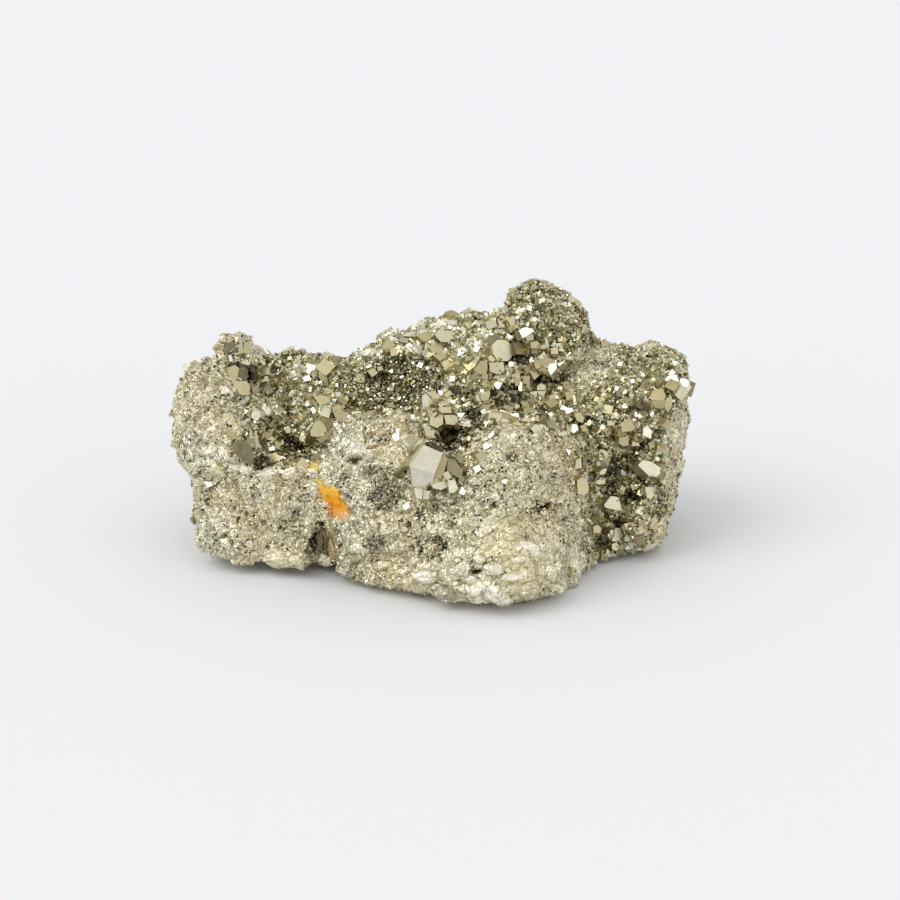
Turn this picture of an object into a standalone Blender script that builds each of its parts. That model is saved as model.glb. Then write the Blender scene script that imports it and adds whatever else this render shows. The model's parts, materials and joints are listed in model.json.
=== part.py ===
"""Pyrite specimen: one broken lump of massive pyrite, with crystals on its crest and in its hollows.

Run it with: blender --background --python part.py
Metres, +Z up. The front faces -Y and the origin is at the centre of the base.
"""

import math
import random

import bmesh
import bpy
from mathutils import Euler, Matrix, Vector
from mathutils.bvhtree import BVHTree

MM = 0.001

# ---------------------------------------------------------------- driving dimensions
FUSE_VOXEL = 1.0 * MM  # lumps closer than this run together
SOFTEN_ROUNDS = 6
LUMPS = {"broad": (11.0 * MM, 3.8 * MM), "close": (4.5 * MM, 2.0 * MM)}  # width and height
CHIPS_KEPT = 0.061  # the share of the fused surface's faces that is left, as flat chips
SLIVER = 0.005 * MM  # edges shorter than this are closed up
SEED = 11

# An elevation of the front is drawn from an eye this far off and this far above the level.
EYE_DISTANCE = 450 * MM
EYE_RISE = math.radians(20)
EYE_ACROSS = 4.0 * MM
EYE_UP = 20.8 * MM

# The main forms of the broken rock. Each is the hull of its corners, in millimetres. Corners below
# zero are ground off, which leaves the flat places that the rock stands on.
CHUNKS = {
    "core": (
        (-44, -8, 3), (-44, 18, -1), (-40, -4, 22), (-40, 16, 28), (46, -4, 2), (46, 22, -1),
        (45, 0, 26), (45, 18, 30), (-10, -19, 2), (20, -22, -1), (-8, -15, 24), (18, -15, 27),
        (-10, 28, -1), (20, 30, -1), (0, 26, 33), (20, 3, 33), (-14, -4, 27), (-38, 24, 3),
        (-38, 24, 24), (40, 27, 3), (40, 27, 28), (-24, 28, 6), (-24, 28, 24), (22, 31, 8), (22, 31, 26),
    ),
    "left block": (
        (-46.5, -13, 3.5), (-35, -16, 2.5), (-23.5, -18, 2.5), (-50, -10, 20.5), (-36.5, -14, 23.5),
        (-21.5, -16, 25), (-22.5, -18.5, 13.5), (-46, 18, -1), (-49, 14, 22), (-20, 20, -1), (-20, 20, 24),
    ),
    "left shoulder": (
        (-54.5, 2, 29.5), (-54, 0, 24.5), (-51.5, -4, 19.5), (-53.5, 4, 34), (-51, 6, 38),
        (-47, 8, 41), (-47.5, -5, 35.5), (-42, -3, 37.5), (-39, -4, 34), (-41.5, -12, 28.5),
        (-48, -9, 27.5), (-37.5, -14, 24), (-45.5, -12, 23), (-48, 18, 30), (-49, 14, 12),
        (-30, 22, 33), (-30, 25, 10),
    ),
    "left peak": (
        (-44.5, 8, 44), (-43, 8, 45), (-37.5, 8, 45), (-35.5, 9, 41.5), (-32.5, 10, 38),
        (-39.5, 1, 37.5), (-44.5, 3, 40.5), (-41, 15, 43), (-37, 17, 41), (-33, 18, 35),
    ),
    "left bank": (
        (-33.5, 16, 36.5), (-30.5, 17, 38.5), (-21, 18, 36), (-16, 18, 36.5), (-34, 6, 30),
        (-18, 6, 30), (-34.5, -8, 24), (-23, -9, 24.5), (-34, 27, 30), (-17, 29, 31),
        (-34, 26, 4), (-17, 26, 4),
    ),
    "lobe left": (
        (-19.5, -14, 28), (-15, -12, 32), (-6.5, -12, 34), (-3.5, -18, 30.5), (-21, -18.5, 18.5),
        (-16.5, -23, 11.5), (-20.5, -18, 2), (-11.5, -22, 2), (-5.5, -27, 8.5), (-5.5, -23, 24),
        (-3, -27, -1), (5, -30, -1), (6, -28, 12), (6, -24, 22), (-20, 5, 2), (-20, 5, 26),
        (8, 5, 27), (8, 5, 2),
    ),
    "lobe right": (
        (14, -16, 33), (21.5, -14, 32.5), (8, -18, 30.5), (28.5, -12, 25), (32, -12, 15.5),
        (33, -14, 6.5), (32, -16, -1), (27, -23, -1.5), (23, -29, -1.5), (12, -33.5, -1.5),
        (4, -33, -1.5), (1, -31, -1.5), (10, -25, 27), (20, -24, 26.5), (26.5, -22, 19.5),
        (3.5, -27, 21.5), (14, -31, 18), (25, -28, 9), (8, -34.5, 9.5), (18, -33.5, 7.5),
        (4, 2, -1.5), (34, 2, -1), (8, 2, 32), (30, 2, 31),
    ),
    "lobe face": (
        (-14, -24, 2), (-15, -22, 12), (-11, -22, 23), (-4, -26.5, 12), (-2, -23, 25.5),
        (3, -31, 3), (4, -28.5, 14), (8, -28, 21), (14, -30, 14), (12, -33, 4),
        (-8, -10, 3), (12, -10, 3), (-8, -10, 24), (12, -10, 26),
    ),
    "cleft bank": (
        (-26, -14, 3), (-17, -17, 2), (-26, -13.5, 24), (-18, -15, 26.5), (-26, 4, 3),
        (-16, 4, 3), (-26, 4, 26), (-16, 4, 27),
    ),
    "right block": (
        (37, 18, 40.5), (44.5, 18, 39), (47.5, 15, 38.5), (53.5, 12, 39.5), (54.5, 10, 38),
        (54.5, 5, 31.5), (53.5, 3, 25.5), (53.5, 1, 18.5), (52, -1, 11.5), (51, -3, 3),
        (48, -4, -1), (38.5, -8, 0.5), (27, 2, 33.5), (35, -2, 33.5), (45, -4, 33.5),
        (48, -5, 29.5), (46.5, -8, 5), (35, -10, 5), (26.5, -5, 26), (51, 22, 35),
        (47, 25, -1.5), (24, 28, -1.5), (28, 28, 36),
    ),
    "ridge": (
        (-16, 20, 36), (-14.5, 20, 38.5), (-9, 21, 41.5), (-1.5, 21, 43.5), (6, 21, 44.5),
        (14, 20, 47), (-15, 5, 31), (0, 0, 29), (14.5, -3, 31.5), (23.5, 2, 31.5),
        (-16, 31, 28), (18, 33, 36), (-16, 30, -1), (26, 33, -1),
    ),
    "knob": (
        (13.5, 17, 48.5), (15.5, 18, 52), (20, 18, 53.5), (24.5, 18, 53), (29.5, 18, 49.5),
        (31.5, 18, 45.5), (34.5, 16, 42.5), (35, 14, 40.5), (20.5, 8, 47.5), (27, 8, 45.5),
        (32.5, 7, 41), (17.5, 8, 42), (26, 5, 37.5), (18, 27, 42), (26, 29, 43),
        (33, 27, 36), (20, 31, 28), (34, 30, 28),
    ),
    "back left": (
        (-50, 8, 4), (-52, 12, 20), (-46, 24, 3), (-47, 22, 24), (-40, 20, 36), (-34, 29, 8),
        (-33, 28, 27), (-28, 22, 34), (-24, 27, -1.5), (-22, 30, 18), (-20, 12, 20),
    ),
    "back middle": (
        (-20, 24, 1), (-18, 34, 6), (-14, 34, 22), (-8, 30, 33), (4, 36.5, 12), (8, 33, 30),
        (14, 30, 38), (16, 33, 4), (-4, 22, 38), (20, 24, 30), (0, 28, -1.5),
    ),
    "back right": (
        (16, 28, 3), (22, 33, 10), (30, 34, 24), (36, 30, 33), (30, 24, 38), (40, 30, 6),
        (48, 24, 10), (50.5, 22, 26), (46, 18, 36), (44, 10, 20), (36, 26, -1.5),
    ),
}

# Hollows in it: centre and half size, in millimetres, and the turn about Y in degrees.
HOLLOWS = {
    "bowl": ((-9, 6, 36), (9, 8, 6), 0),
    "pocket behind the lobe": ((3, -8, 31), (5, 6, 7), 0),
    "left pit": ((-29, -5, 27), (8, 6, 5), 0),
    "cleft": ((-20.8, -20, 18.5), (1.5, 5, 8.5), -27),
    "cleft foot": ((-22, -19, 5.5), (2.6, 5, 5.5), 6),
    "crystal seat": ((3, -26, 24), (5, 4, 6), -15),
    "right wall, upper": ((40.5, -11, 20), (8, 8, 11), 10),
    "right wall, lower": ((37, -12, 8.5), (7, 7.5, 8), -8),
    "nook": ((22, 1, 37.5), (5, 4, 3.5), 0),
}

# The crystals that stand out: across and up on the front elevation, size and turn
# (millimetres and degrees), and form.
LEADING_CRYSTALS = (
    (-1.3, 16.5, 8.2, (20, 35, 10), "pyritohedron"),
    (3.6, 17.5, 5.6, (40, 10, 30), "pyritohedron"),
    (-0.5, 27.5, 4.2, (30, 20, 40), "cube"),
    (2.8, 28.2, 3.8, (50, 25, 10), "cube"),
    (1.2, 30.4, 3.0, (15, 40, 30), "cube"),
    (-44.3, 39.2, 4.6, (25, 15, 35), "pyritohedron"),
    (-42.5, 36.0, 4.2, (10, 35, 20), "pyritohedron"),
    (-44.0, 41.6, 3.0, (35, 20, 55), "cube"),
    (-38.3, 38.6, 3.2, (20, 30, 15), "cube"),
    (-40.4, 20.3, 4.0, (30, 40, 20), "cube"),
    (14.2, 43.0, 5.2, (15, 25, 35), "pyritohedron"),
    (-24.4, 30.7, 3.4, (30, 10, 25), "cube"),
    (-20.5, 28.6, 4.2, (10, 40, 35), "pyritohedron"),
    (-24.6, 25.0, 3.2, (40, 30, 15), "cube"),
    (45.3, 31.3, 4.6, (25, 35, 20), "pyritohedron"),
    (51.2, 33.5, 3.2, (35, 15, 40), "cube"),
    (42.6, 26.0, 3.0, (20, 45, 25), "cube"),
    (46.8, 16.5, 3.6, (40, 20, 10), "cube"),
    (38.8, 9.1, 3.4, (15, 30, 40), "cube"),
    (44.3, 8.0, 2.8, (35, 25, 20), "cube"),
    (39.6, 1.7, 2.8, (25, 15, 50), "cube"),
    (-1.3, 44.6, 3.4, (30, 20, 15), "cube"),
    (8.3, 37.7, 4.2, (20, 35, 30), "pyritohedron"),
    (27.3, 32.4, 3.4, (40, 15, 25), "cube"),
)

# Beds of smaller crystals: centre and half size of the bed, how many, and their sizes.
CRYSTAL_BEDS = {
    "left valley": ((-29, 2, 30), (10, 14, 9), 24, (2.2, 3.6)),
    "left peak": ((-38, 1, 37), (6, 6, 4), 6, (1.9, 2.8)),
    "ridge": ((0, 15, 39), (18, 9, 8), 30, (2.2, 3.8)),
    "bowl rim": ((-9, -5, 32), (13, 6, 5), 10, (2.0, 3.2)),
    "pocket": ((3, -8, 30), (8, 9, 8), 11, (2.4, 3.8)),
    "nook": ((21, 1, 36), (9, 8, 8), 16, (2.2, 3.6)),
    "right roof": ((44, 6, 36), (9, 9, 6), 9, (2.0, 3.2)),
    "right wall": ((39, -6, 17), (9, 9, 16), 27, (2.3, 4.0)),
    "lobe foot": ((14, -30, 7), (12, 6, 5), 7, (2.4, 3.4)),
}
PYRITOHEDRON_SHARE = 0.25
SUNK = (0.05, 0.30)  # how far a crystal's centre lies under the surface, as a share of its size
LEADING_SUNK = 0.12

PYRITE_COLOUR = (0.42, 0.38, 0.24, 1)
PYRITE_METALLIC = 0.9
PYRITE_ROUGHNESS = 0.35


def mm(values):
    """A vector in metres from values in millimetres."""
    return Vector(values) * MM


# ---------------------------------------------------------------- scene
def clear_scene():
    for thing in list(bpy.data.objects):
        bpy.data.objects.remove(thing)


def new_collection(name):
    made = bpy.data.collections.new(name)
    bpy.context.scene.collection.children.link(made)
    return made


def new_object(name, mesh, collection):
    made = bpy.data.objects.new(name, mesh)
    collection.objects.link(made)
    return made


def as_guide(thing):
    """Keeps a cutter or a mould out of the build."""
    thing.hide_render = True
    thing.display_type = "WIRE"


def mesh_from(bm, name):
    bmesh.ops.recalc_face_normals(bm, faces=bm.faces)
    mesh = bpy.data.meshes.new(name)
    bm.to_mesh(mesh)
    bm.free()
    return mesh


def evaluated_mesh(thing):
    bpy.context.view_layer.update()
    graph = bpy.context.evaluated_depsgraph_get()
    return bpy.data.meshes.new_from_object(thing.evaluated_get(graph))


def pyrite_material():
    made = bpy.data.materials.new("pyrite")
    made.use_nodes = True
    shader = made.node_tree.nodes["Principled BSDF"]
    shader.inputs["Base Color"].default_value = PYRITE_COLOUR
    shader.inputs["Metallic"].default_value = PYRITE_METALLIC
    shader.inputs["Roughness"].default_value = PYRITE_ROUGHNESS
    made.diffuse_color = PYRITE_COLOUR
    return made


# ---------------------------------------------------------------- the broken rock
def hull_into(bm, corners):
    """Adds the hull of some corners and gives its vertices."""
    points = [bm.verts.new(corner) for corner in corners]
    hull = bmesh.ops.convex_hull(bm, input=points)
    inside = [item for item in hull["geom_interior"] if isinstance(item, bmesh.types.BMVert)]
    bmesh.ops.delete(bm, geom=inside, context="VERTS")
    return [point for point in points if point.is_valid]


def chunks_mesh():
    bm = bmesh.new()
    for corners in CHUNKS.values():
        hull_into(bm, [mm(corner) for corner in corners])
    return mesh_from(bm, "chunks")


def cut(target, cutter):
    as_guide(cutter)
    made = target.modifiers.new(cutter.name, "BOOLEAN")
    made.operation = "DIFFERENCE"
    made.object = cutter


def hollow_cutter(name, centre, half_size, turn, collection):
    bm = bmesh.new()
    bmesh.ops.create_icosphere(bm, subdivisions=3, radius=1)
    bmesh.ops.scale(bm, verts=bm.verts, vec=mm(half_size))
    made = new_object(name, mesh_from(bm, name), collection)
    made.location = mm(centre)
    made.rotation_euler.y = math.radians(turn)
    return made


def bench_cutter(collection):
    """A block below the base: what it takes off leaves the flat places that the rock stands on."""
    side = 200 * MM
    bm = bmesh.new()
    bmesh.ops.create_cube(bm, size=side)
    made = new_object("bench", mesh_from(bm, "bench"), collection)
    made.location.z = -side / 2
    return made


def roughen(rock):
    for name, (width, height) in LUMPS.items():
        noise = bpy.data.textures.new(name, "CLOUDS")
        noise.noise_scale = width
        noise.noise_depth = 1
        lumps = rock.modifiers.new(name, "DISPLACE")
        lumps.texture = noise
        lumps.texture_coords = "GLOBAL"
        lumps.strength = height
        lumps.mid_level = 0.5


def make_rock(cutters):
    """The bare rock, as an object whose modifiers fuse, hollow and chip it."""
    rock = new_object("rock", chunks_mesh(), cutters)
    fuse = rock.modifiers.new("fuse", "REMESH")
    fuse.mode = "VOXEL"
    fuse.voxel_size = FUSE_VOXEL
    soften = rock.modifiers.new("soften", "SMOOTH")
    soften.iterations = SOFTEN_ROUNDS
    for name, (centre, half_size, turn) in HOLLOWS.items():
        cut(rock, hollow_cutter(name, centre, half_size, turn, cutters))
    again = rock.modifiers.new("even out", "REMESH")
    again.mode = "VOXEL"
    again.voxel_size = FUSE_VOXEL
    roughen(rock)
    chip = rock.modifiers.new("chip", "DECIMATE")
    chip.ratio = CHIPS_KEPT
    as_guide(rock)
    return rock


# ---------------------------------------------------------------- crystals
def pyritohedron_corners():
    """The corners of a twelve-sided crystal of five-sided faces, one unit across its cube."""
    corners = [(x, y, z) for x in (-1, 1) for y in (-1, 1) for z in (-1, 1)]
    for long in (-1.5, 1.5):
        for short in (-0.75, 0.75):
            corners += [(0, short, long), (short, long, 0), (long, 0, short)]
    return [Vector(corner) / 3 for corner in corners]


def crystal_into(bm, form, size, place, turn):
    if form == "cube":
        made = bmesh.ops.create_cube(bm, size=size)["verts"]
    else:
        made = hull_into(bm, [corner * size for corner in pyritohedron_corners()])
    spin = turn.to_matrix().to_4x4()
    bmesh.ops.transform(bm, matrix=Matrix.Translation(place) @ spin, verts=made)


def seat_leading_crystals(bm, surface):
    """Sets each leading crystal where its line of sight meets the rock."""
    sight = Vector((0, math.cos(EYE_RISE), -math.sin(EYE_RISE)))
    upward = Vector((0, math.sin(EYE_RISE), math.cos(EYE_RISE)))
    eye = Vector((EYE_ACROSS, 0, 0)) + EYE_UP * upward - EYE_DISTANCE * sight
    for across, up, size, turn, form in LEADING_CRYSTALS:
        aim = Vector((across * MM, 0, 0)) + up * MM * upward
        spot, normal, _, _ = surface.ray_cast(eye, (aim - eye).normalized())
        place = spot - normal * size * MM * LEADING_SUNK
        crystal_into(bm, form, size * MM, place, Euler([math.radians(angle) for angle in turn]))


def faces_in(mesh, centre, half_size):
    """The faces of a mesh whose centres lie in a bed, an ellipsoid."""
    for face in mesh.polygons:
        offset = face.center - mm(centre)
        if sum((offset[axis] / (half_size[axis] * MM)) ** 2 for axis in range(3)) < 1:
            yield face


def seat_beds(bm, mesh):
    """Scatters each bed's crystals over the rock's faces inside it."""
    chance = random.Random(SEED)
    for centre, half_size, count, (smallest, largest) in CRYSTAL_BEDS.values():
        faces = list(faces_in(mesh, centre, half_size))
        chosen = chance.sample(faces, min(count, len(faces)))
        for face in chosen:
            size = chance.uniform(smallest, largest) * MM
            place = face.center - face.normal * size * chance.uniform(*SUNK)
            turn = Euler([chance.uniform(0, math.pi) for _ in range(3)])
            form = "pyritohedron" if chance.random() < PYRITOHEDRON_SHARE else "cube"
            crystal_into(bm, form, size, place, turn)


def make_crystals(rock_mesh, cutters):
    rock_bm = bmesh.new()
    rock_bm.from_mesh(rock_mesh)
    surface = BVHTree.FromBMesh(rock_bm)
    rock_bm.free()
    bm = bmesh.new()
    seat_leading_crystals(bm, surface)
    seat_beds(bm, rock_mesh)
    made = new_object("crystals", mesh_from(bm, "crystals"), cutters)
    as_guide(made)
    return made


# ---------------------------------------------------------------- the specimen
def keep_outer_shell(bm):
    """Deletes everything but the largest connected shell."""
    left = set(bm.verts)
    shells = []
    while left:
        shell = {left.pop()}
        edge_of_it = list(shell)
        while edge_of_it:
            vert = edge_of_it.pop()
            for edge in vert.link_edges:
                other = edge.other_vert(vert)
                if other not in shell:
                    shell.add(other)
                    edge_of_it.append(other)
        left -= shell
        shells.append(shell)
    outer = max(shells, key=len)
    bmesh.ops.delete(bm, geom=[vert for vert in bm.verts if vert not in outer], context="VERTS")


def finish_surface(mesh):
    """One shell, in triangles, without the slivers that the joining leaves."""
    bm = bmesh.new()
    bm.from_mesh(mesh)
    keep_outer_shell(bm)
    bmesh.ops.triangulate(bm, faces=bm.faces)
    bmesh.ops.dissolve_degenerate(bm, dist=SLIVER, edges=bm.edges)
    bmesh.ops.triangulate(bm, faces=bm.faces)
    bm.to_mesh(mesh)
    bm.free()


def main():
    clear_scene()
    specimen = new_collection("pyrite_specimen")
    cutters = new_collection("cutters")
    rock = make_rock(cutters)
    rock_mesh = evaluated_mesh(rock)
    crystals = make_crystals(rock_mesh, cutters)
    pyrite = new_object("pyrite", rock_mesh, specimen)
    grow = pyrite.modifiers.new("crystals", "BOOLEAN")
    grow.operation = "UNION"
    grow.object = crystals
    grow.use_self = True
    cut(pyrite, bench_cutter(cutters))
    fused = evaluated_mesh(pyrite)
    finish_surface(fused)
    pyrite.modifiers.clear()
    pyrite.data = fused
    pyrite.data.materials.clear()
    pyrite.data.materials.append(pyrite_material())


main()
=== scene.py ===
# %% [markdown]
# # A pyrite specimen
#
# A lump of massive pyrite, broken out of a vein. Its broken faces are granular and grey-beige. Where the
# vein had room, the same mineral grew free crystals with flat faces: on the crest, in the hollows and
# on the wall at the right. The solid that carries it all is fixed. This script dresses it: a finer rock
# surface, thousands of crystals, the ochre in its cleft, and the light.

# %% Load the frame
import json
import math

import bmesh
import bpy
import numpy as np
from mathutils import Matrix, Vector
from mathutils.bvhtree import BVHTree
from mathutils.kdtree import KDTree
from mathutils.noise import noise as noise_at

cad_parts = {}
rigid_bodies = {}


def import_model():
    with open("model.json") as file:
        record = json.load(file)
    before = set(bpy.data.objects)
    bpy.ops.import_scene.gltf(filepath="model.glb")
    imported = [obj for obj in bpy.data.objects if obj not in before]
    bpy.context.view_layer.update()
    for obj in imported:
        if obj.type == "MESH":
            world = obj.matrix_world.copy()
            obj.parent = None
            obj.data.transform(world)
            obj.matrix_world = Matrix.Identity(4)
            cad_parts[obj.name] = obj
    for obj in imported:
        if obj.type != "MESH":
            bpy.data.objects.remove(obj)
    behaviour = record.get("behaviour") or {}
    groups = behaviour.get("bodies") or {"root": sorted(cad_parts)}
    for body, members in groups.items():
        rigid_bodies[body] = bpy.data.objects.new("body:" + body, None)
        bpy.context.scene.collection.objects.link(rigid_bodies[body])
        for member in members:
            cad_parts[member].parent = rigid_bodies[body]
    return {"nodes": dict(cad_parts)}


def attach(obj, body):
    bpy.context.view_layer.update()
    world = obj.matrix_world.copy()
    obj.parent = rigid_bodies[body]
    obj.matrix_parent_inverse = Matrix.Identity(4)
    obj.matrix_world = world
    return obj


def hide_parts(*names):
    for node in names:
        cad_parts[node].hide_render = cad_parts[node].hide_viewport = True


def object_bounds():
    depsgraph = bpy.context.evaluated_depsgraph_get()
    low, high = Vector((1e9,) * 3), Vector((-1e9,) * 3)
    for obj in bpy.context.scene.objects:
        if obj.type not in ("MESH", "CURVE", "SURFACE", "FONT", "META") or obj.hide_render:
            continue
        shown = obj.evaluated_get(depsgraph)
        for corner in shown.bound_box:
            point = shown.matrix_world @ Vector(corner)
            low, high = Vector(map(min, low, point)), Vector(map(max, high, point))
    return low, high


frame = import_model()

MM = 0.001
CAD_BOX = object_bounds()
print("box of the solid, mm:", [[round(value / MM, 1) for value in corner] for corner in CAD_BOX])

# %% [markdown]
# ## Camera
#
# A small specimen is best shown from a little above with a longish lens, so that its sides stay
# upright. The camera comes first because the places of the leading crystals are sight lines through
# the picture: a pixel, and then whatever rock lies behind it.

# %% Camera
IMAGE_SIDE = 900
CAMERA_RISE = math.radians(20)
CAMERA_DISTANCE = 450 * MM
LENS = 85
SENSOR = 36
AIM_ACROSS = 4.02 * MM
AIM_UP = 20.75 * MM

AHEAD = Vector((0, math.cos(CAMERA_RISE), -math.sin(CAMERA_RISE)))
UPWARD = Vector((0, math.sin(CAMERA_RISE), math.cos(CAMERA_RISE)))
ACROSS = Vector((1, 0, 0))
EYE = ACROSS * AIM_ACROSS + UPWARD * AIM_UP - AHEAD * CAMERA_DISTANCE
PIXELS = IMAGE_SIDE * LENS / SENSOR  # pixels to one unit of slope
PIXEL = CAMERA_DISTANCE / PIXELS  # the width of a pixel on the specimen

lens = bpy.data.cameras.new("camera")
lens.lens = LENS
lens.sensor_width = SENSOR
lens.clip_start = 10 * MM
camera = bpy.data.objects.new("camera", lens)
camera.location = EYE
camera.rotation_euler = (math.pi / 2 - CAMERA_RISE, 0, 0)
bpy.context.scene.collection.objects.link(camera)
bpy.context.scene.camera = camera


def sight_line(pixel):
    """The direction from the eye through a pixel, counted from the picture's top left."""
    across = (pixel[0] - IMAGE_SIDE / 2) / PIXELS
    up = (IMAGE_SIDE / 2 - pixel[1]) / PIXELS
    return (AHEAD + ACROSS * across + UPWARD * up).normalized()


def picture_of(points):
    """Where points fall in the picture, as an array of pixel pairs."""
    offset = points - np.array(EYE)
    depth = offset @ np.array(AHEAD)
    across = offset @ np.array(ACROSS) / depth * PIXELS + IMAGE_SIDE / 2
    down = IMAGE_SIDE / 2 - offset @ np.array(UPWARD) / depth * PIXELS
    return np.stack([across, down], axis=1)


print("eye at, mm:", [round(value / MM) for value in EYE], "a pixel is, mm:", round(PIXEL / MM, 3))

# %% [markdown]
# ## Light
#
# The room is white and the daylight is soft. A sun lamp with a wide disc gives the same light all over
# the floor, and its disc is what a crystal face shows when it flashes white. The room around it is
# brightest behind the camera, which lifts the front of the rock. Its walls are uneven, and the person
# who looks at the specimen makes one dark patch, so that flat faces show different greys.

# %% Light
SUN_FROM = Vector((-0.62, -0.28, 0.73)).normalized()
SUN_POWER = 0.9
SUN_WIDTH = math.radians(42)
ROOM_FRONT = (1.18, 1.18, 1.19, 1)
ROOM_BACK = (0.86, 0.86, 0.86, 1)
ROOM_TURN = (-0.6, 0.3)  # from here to there along y, the front of the room turns into the back
ROOM_UNEVEN = (0.72, 1.22)  # the darkest and the brightest of its patches
ROOM_PATCHES = 2.4  # how fine the patches are
DARK_CORNER = math.radians(17)
DARK_EDGE = (1.5, 0.6)  # the dark patch begins here and is full there, in its own radii
DARK_SHARE = 0.22


def new_lamp():
    lamp = bpy.data.lights.new("daylight", "SUN")
    lamp.energy = SUN_POWER
    lamp.angle = SUN_WIDTH
    made = bpy.data.objects.new("daylight", lamp)
    made.rotation_euler = SUN_FROM.to_track_quat("Z", "Y").to_euler()
    bpy.context.scene.collection.objects.link(made)


new_lamp()
print("the sun stands", round(math.degrees(math.asin(SUN_FROM.z))), "degrees up")

# %% [markdown]
# ## The room
#
# A world shader is a small graph of nodes, like a material. One helper makes a node, sets its settings
# and links or sets its inputs, so that a graph reads from top to bottom. Inputs that share a name are
# told apart by number: 1 to 4 are the two ranges of a Map Range node, and 6 and 7 are the two colours of
# a Mix node.

# %% The room
def node(tree, kind, inputs=None, **settings):
    """A node with its settings, and its inputs set to values or linked from sockets."""
    made = tree.nodes.new(kind)
    for name, value in settings.items():
        setattr(made, name, value)
    for name, value in (inputs or {}).items():
        if isinstance(value, bpy.types.NodeSocket):
            tree.links.new(value, made.inputs[name])
        else:
            made.inputs[name].default_value = value
    return made


def new_room():
    """A white room, brightest on the side the camera stands on."""
    world = bpy.data.worlds.new("room")
    world.use_nodes = True
    bpy.context.scene.world = world
    tree = world.node_tree
    direction = node(tree, "ShaderNodeTexCoord").outputs["Generated"]
    axes = node(tree, "ShaderNodeSeparateXYZ", {0: direction})
    share = node(tree, "ShaderNodeMapRange",
                 {0: axes.outputs["Y"], 1: ROOM_TURN[0], 2: ROOM_TURN[1], 3: 0, 4: 1},
                 interpolation_type="SMOOTHSTEP")
    shade = node(tree, "ShaderNodeMix", {0: share.outputs[0], 6: ROOM_FRONT, 7: ROOM_BACK},
                 data_type="RGBA")
    walls = node(tree, "ShaderNodeTexNoise", {"Vector": direction, "Scale": ROOM_PATCHES, "Detail": 1.0})
    uneven = node(tree, "ShaderNodeMapRange",
                  {0: walls.outputs["Fac"], 1: 0.3, 2: 0.7, 3: ROOM_UNEVEN[0], 4: ROOM_UNEVEN[1]})
    along = node(tree, "ShaderNodeVectorMath", {0: direction, 1: -AHEAD}, operation="DOT_PRODUCT")
    corner = node(tree, "ShaderNodeMapRange",
                  {0: along.outputs["Value"], 1: math.cos(DARK_CORNER * DARK_EDGE[0]),
                   2: math.cos(DARK_CORNER * DARK_EDGE[1]), 3: 1.0, 4: DARK_SHARE})
    power = node(tree, "ShaderNodeMath", {0: uneven.outputs[0], 1: corner.outputs[0]},
                 operation="MULTIPLY")
    back = tree.nodes["Background"]
    tree.links.new(shade.outputs[2], back.inputs[0])
    tree.links.new(power.outputs[0], back.inputs[1])


new_room()
bpy.context.scene.view_settings.view_transform = "Standard"
print("the room's nodes:", len(bpy.context.scene.world.node_tree.nodes))

# %% [markdown]
# ## Making big joined meshes
#
# Thousands of crystals as thousands of objects would be slow, and instances are lost when a model is
# exported. So every kind of crystal is one joined mesh: numpy turns, sizes and moves a small pattern of
# corners, once for each place, and the result goes into Blender in one call. Each crystal also gets a
# random number of its own, its tint, and each face another, its polish, for the materials to use. Besides
# colour, the tint carries painted light and shade, and the polish also greys some faces as painted shade.

# %% Joined meshes
def link(name, mesh):
    made = bpy.data.objects.new(name, mesh)
    bpy.context.scene.collection.objects.link(made)
    return made


def random_turns(count, chance):
    """Random rotation matrices, from random quaternions."""
    w, x, y, z = chance.normal(size=(4, count))
    length = np.sqrt(w * w + x * x + y * y + z * z)
    w, x, y, z = w / length, x / length, y / length, z / length
    rows = [
        [1 - 2 * (y * y + z * z), 2 * (x * y - z * w), 2 * (x * z + y * w)],
        [2 * (x * y + z * w), 1 - 2 * (x * x + z * z), 2 * (y * z - x * w)],
        [2 * (x * z - y * w), 2 * (y * z + x * w), 1 - 2 * (x * x + y * y)],
    ]
    return np.array(rows).transpose(2, 0, 1)


def face_attribute(mesh, name, values):
    layer = mesh.attributes.new(name, "FLOAT", "FACE")
    layer.data.foreach_set("value", values.astype(np.float32))


def joined_mesh(name, batches, chance):
    """One mesh from batches of copies, with the face attributes tint (one for a copy) and polish.

    A batch is a pattern and then, for each copy, a place, a size, a turn and a tint.
    """
    corners, loops, lengths, tint_and_shade = [], [], [], []
    first = 0
    for (points, face_loops, face_lengths), places, sizes, turns, tints in batches:
        moved = np.einsum("nij,kj->nki", turns, points) * sizes[:, None, None] + places[:, None, :]
        starts = first + np.arange(len(places)) * len(points)
        corners.append(moved.reshape(-1, 3))
        loops.append((face_loops[None, :] + starts[:, None]).ravel())
        lengths.append(np.tile(face_lengths, len(places)))
        tint_and_shade.append(np.repeat(tints, len(face_lengths)))
        first += len(places) * len(points)
    corners, loops, lengths = (np.concatenate(part) for part in (corners, loops, lengths))
    mesh = bpy.data.meshes.new(name)
    mesh.vertices.add(len(corners))
    mesh.vertices.foreach_set("co", corners.astype(np.float32).ravel())
    mesh.loops.add(len(loops))
    mesh.loops.foreach_set("vertex_index", loops.astype(np.int32))
    mesh.polygons.add(len(lengths))
    mesh.polygons.foreach_set("loop_start", (np.cumsum(lengths) - lengths).astype(np.int32))
    mesh.update(calc_edges=True)
    mesh.shade_flat()
    face_attribute(mesh, "tint_and_shade", np.concatenate(tint_and_shade))
    face_attribute(mesh, "polish_and_shade", chance.random(len(lengths)))
    print(name, "copies:", sum(len(batch[1]) for batch in batches), "triangles:", int((lengths - 2).sum()))
    return mesh


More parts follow.
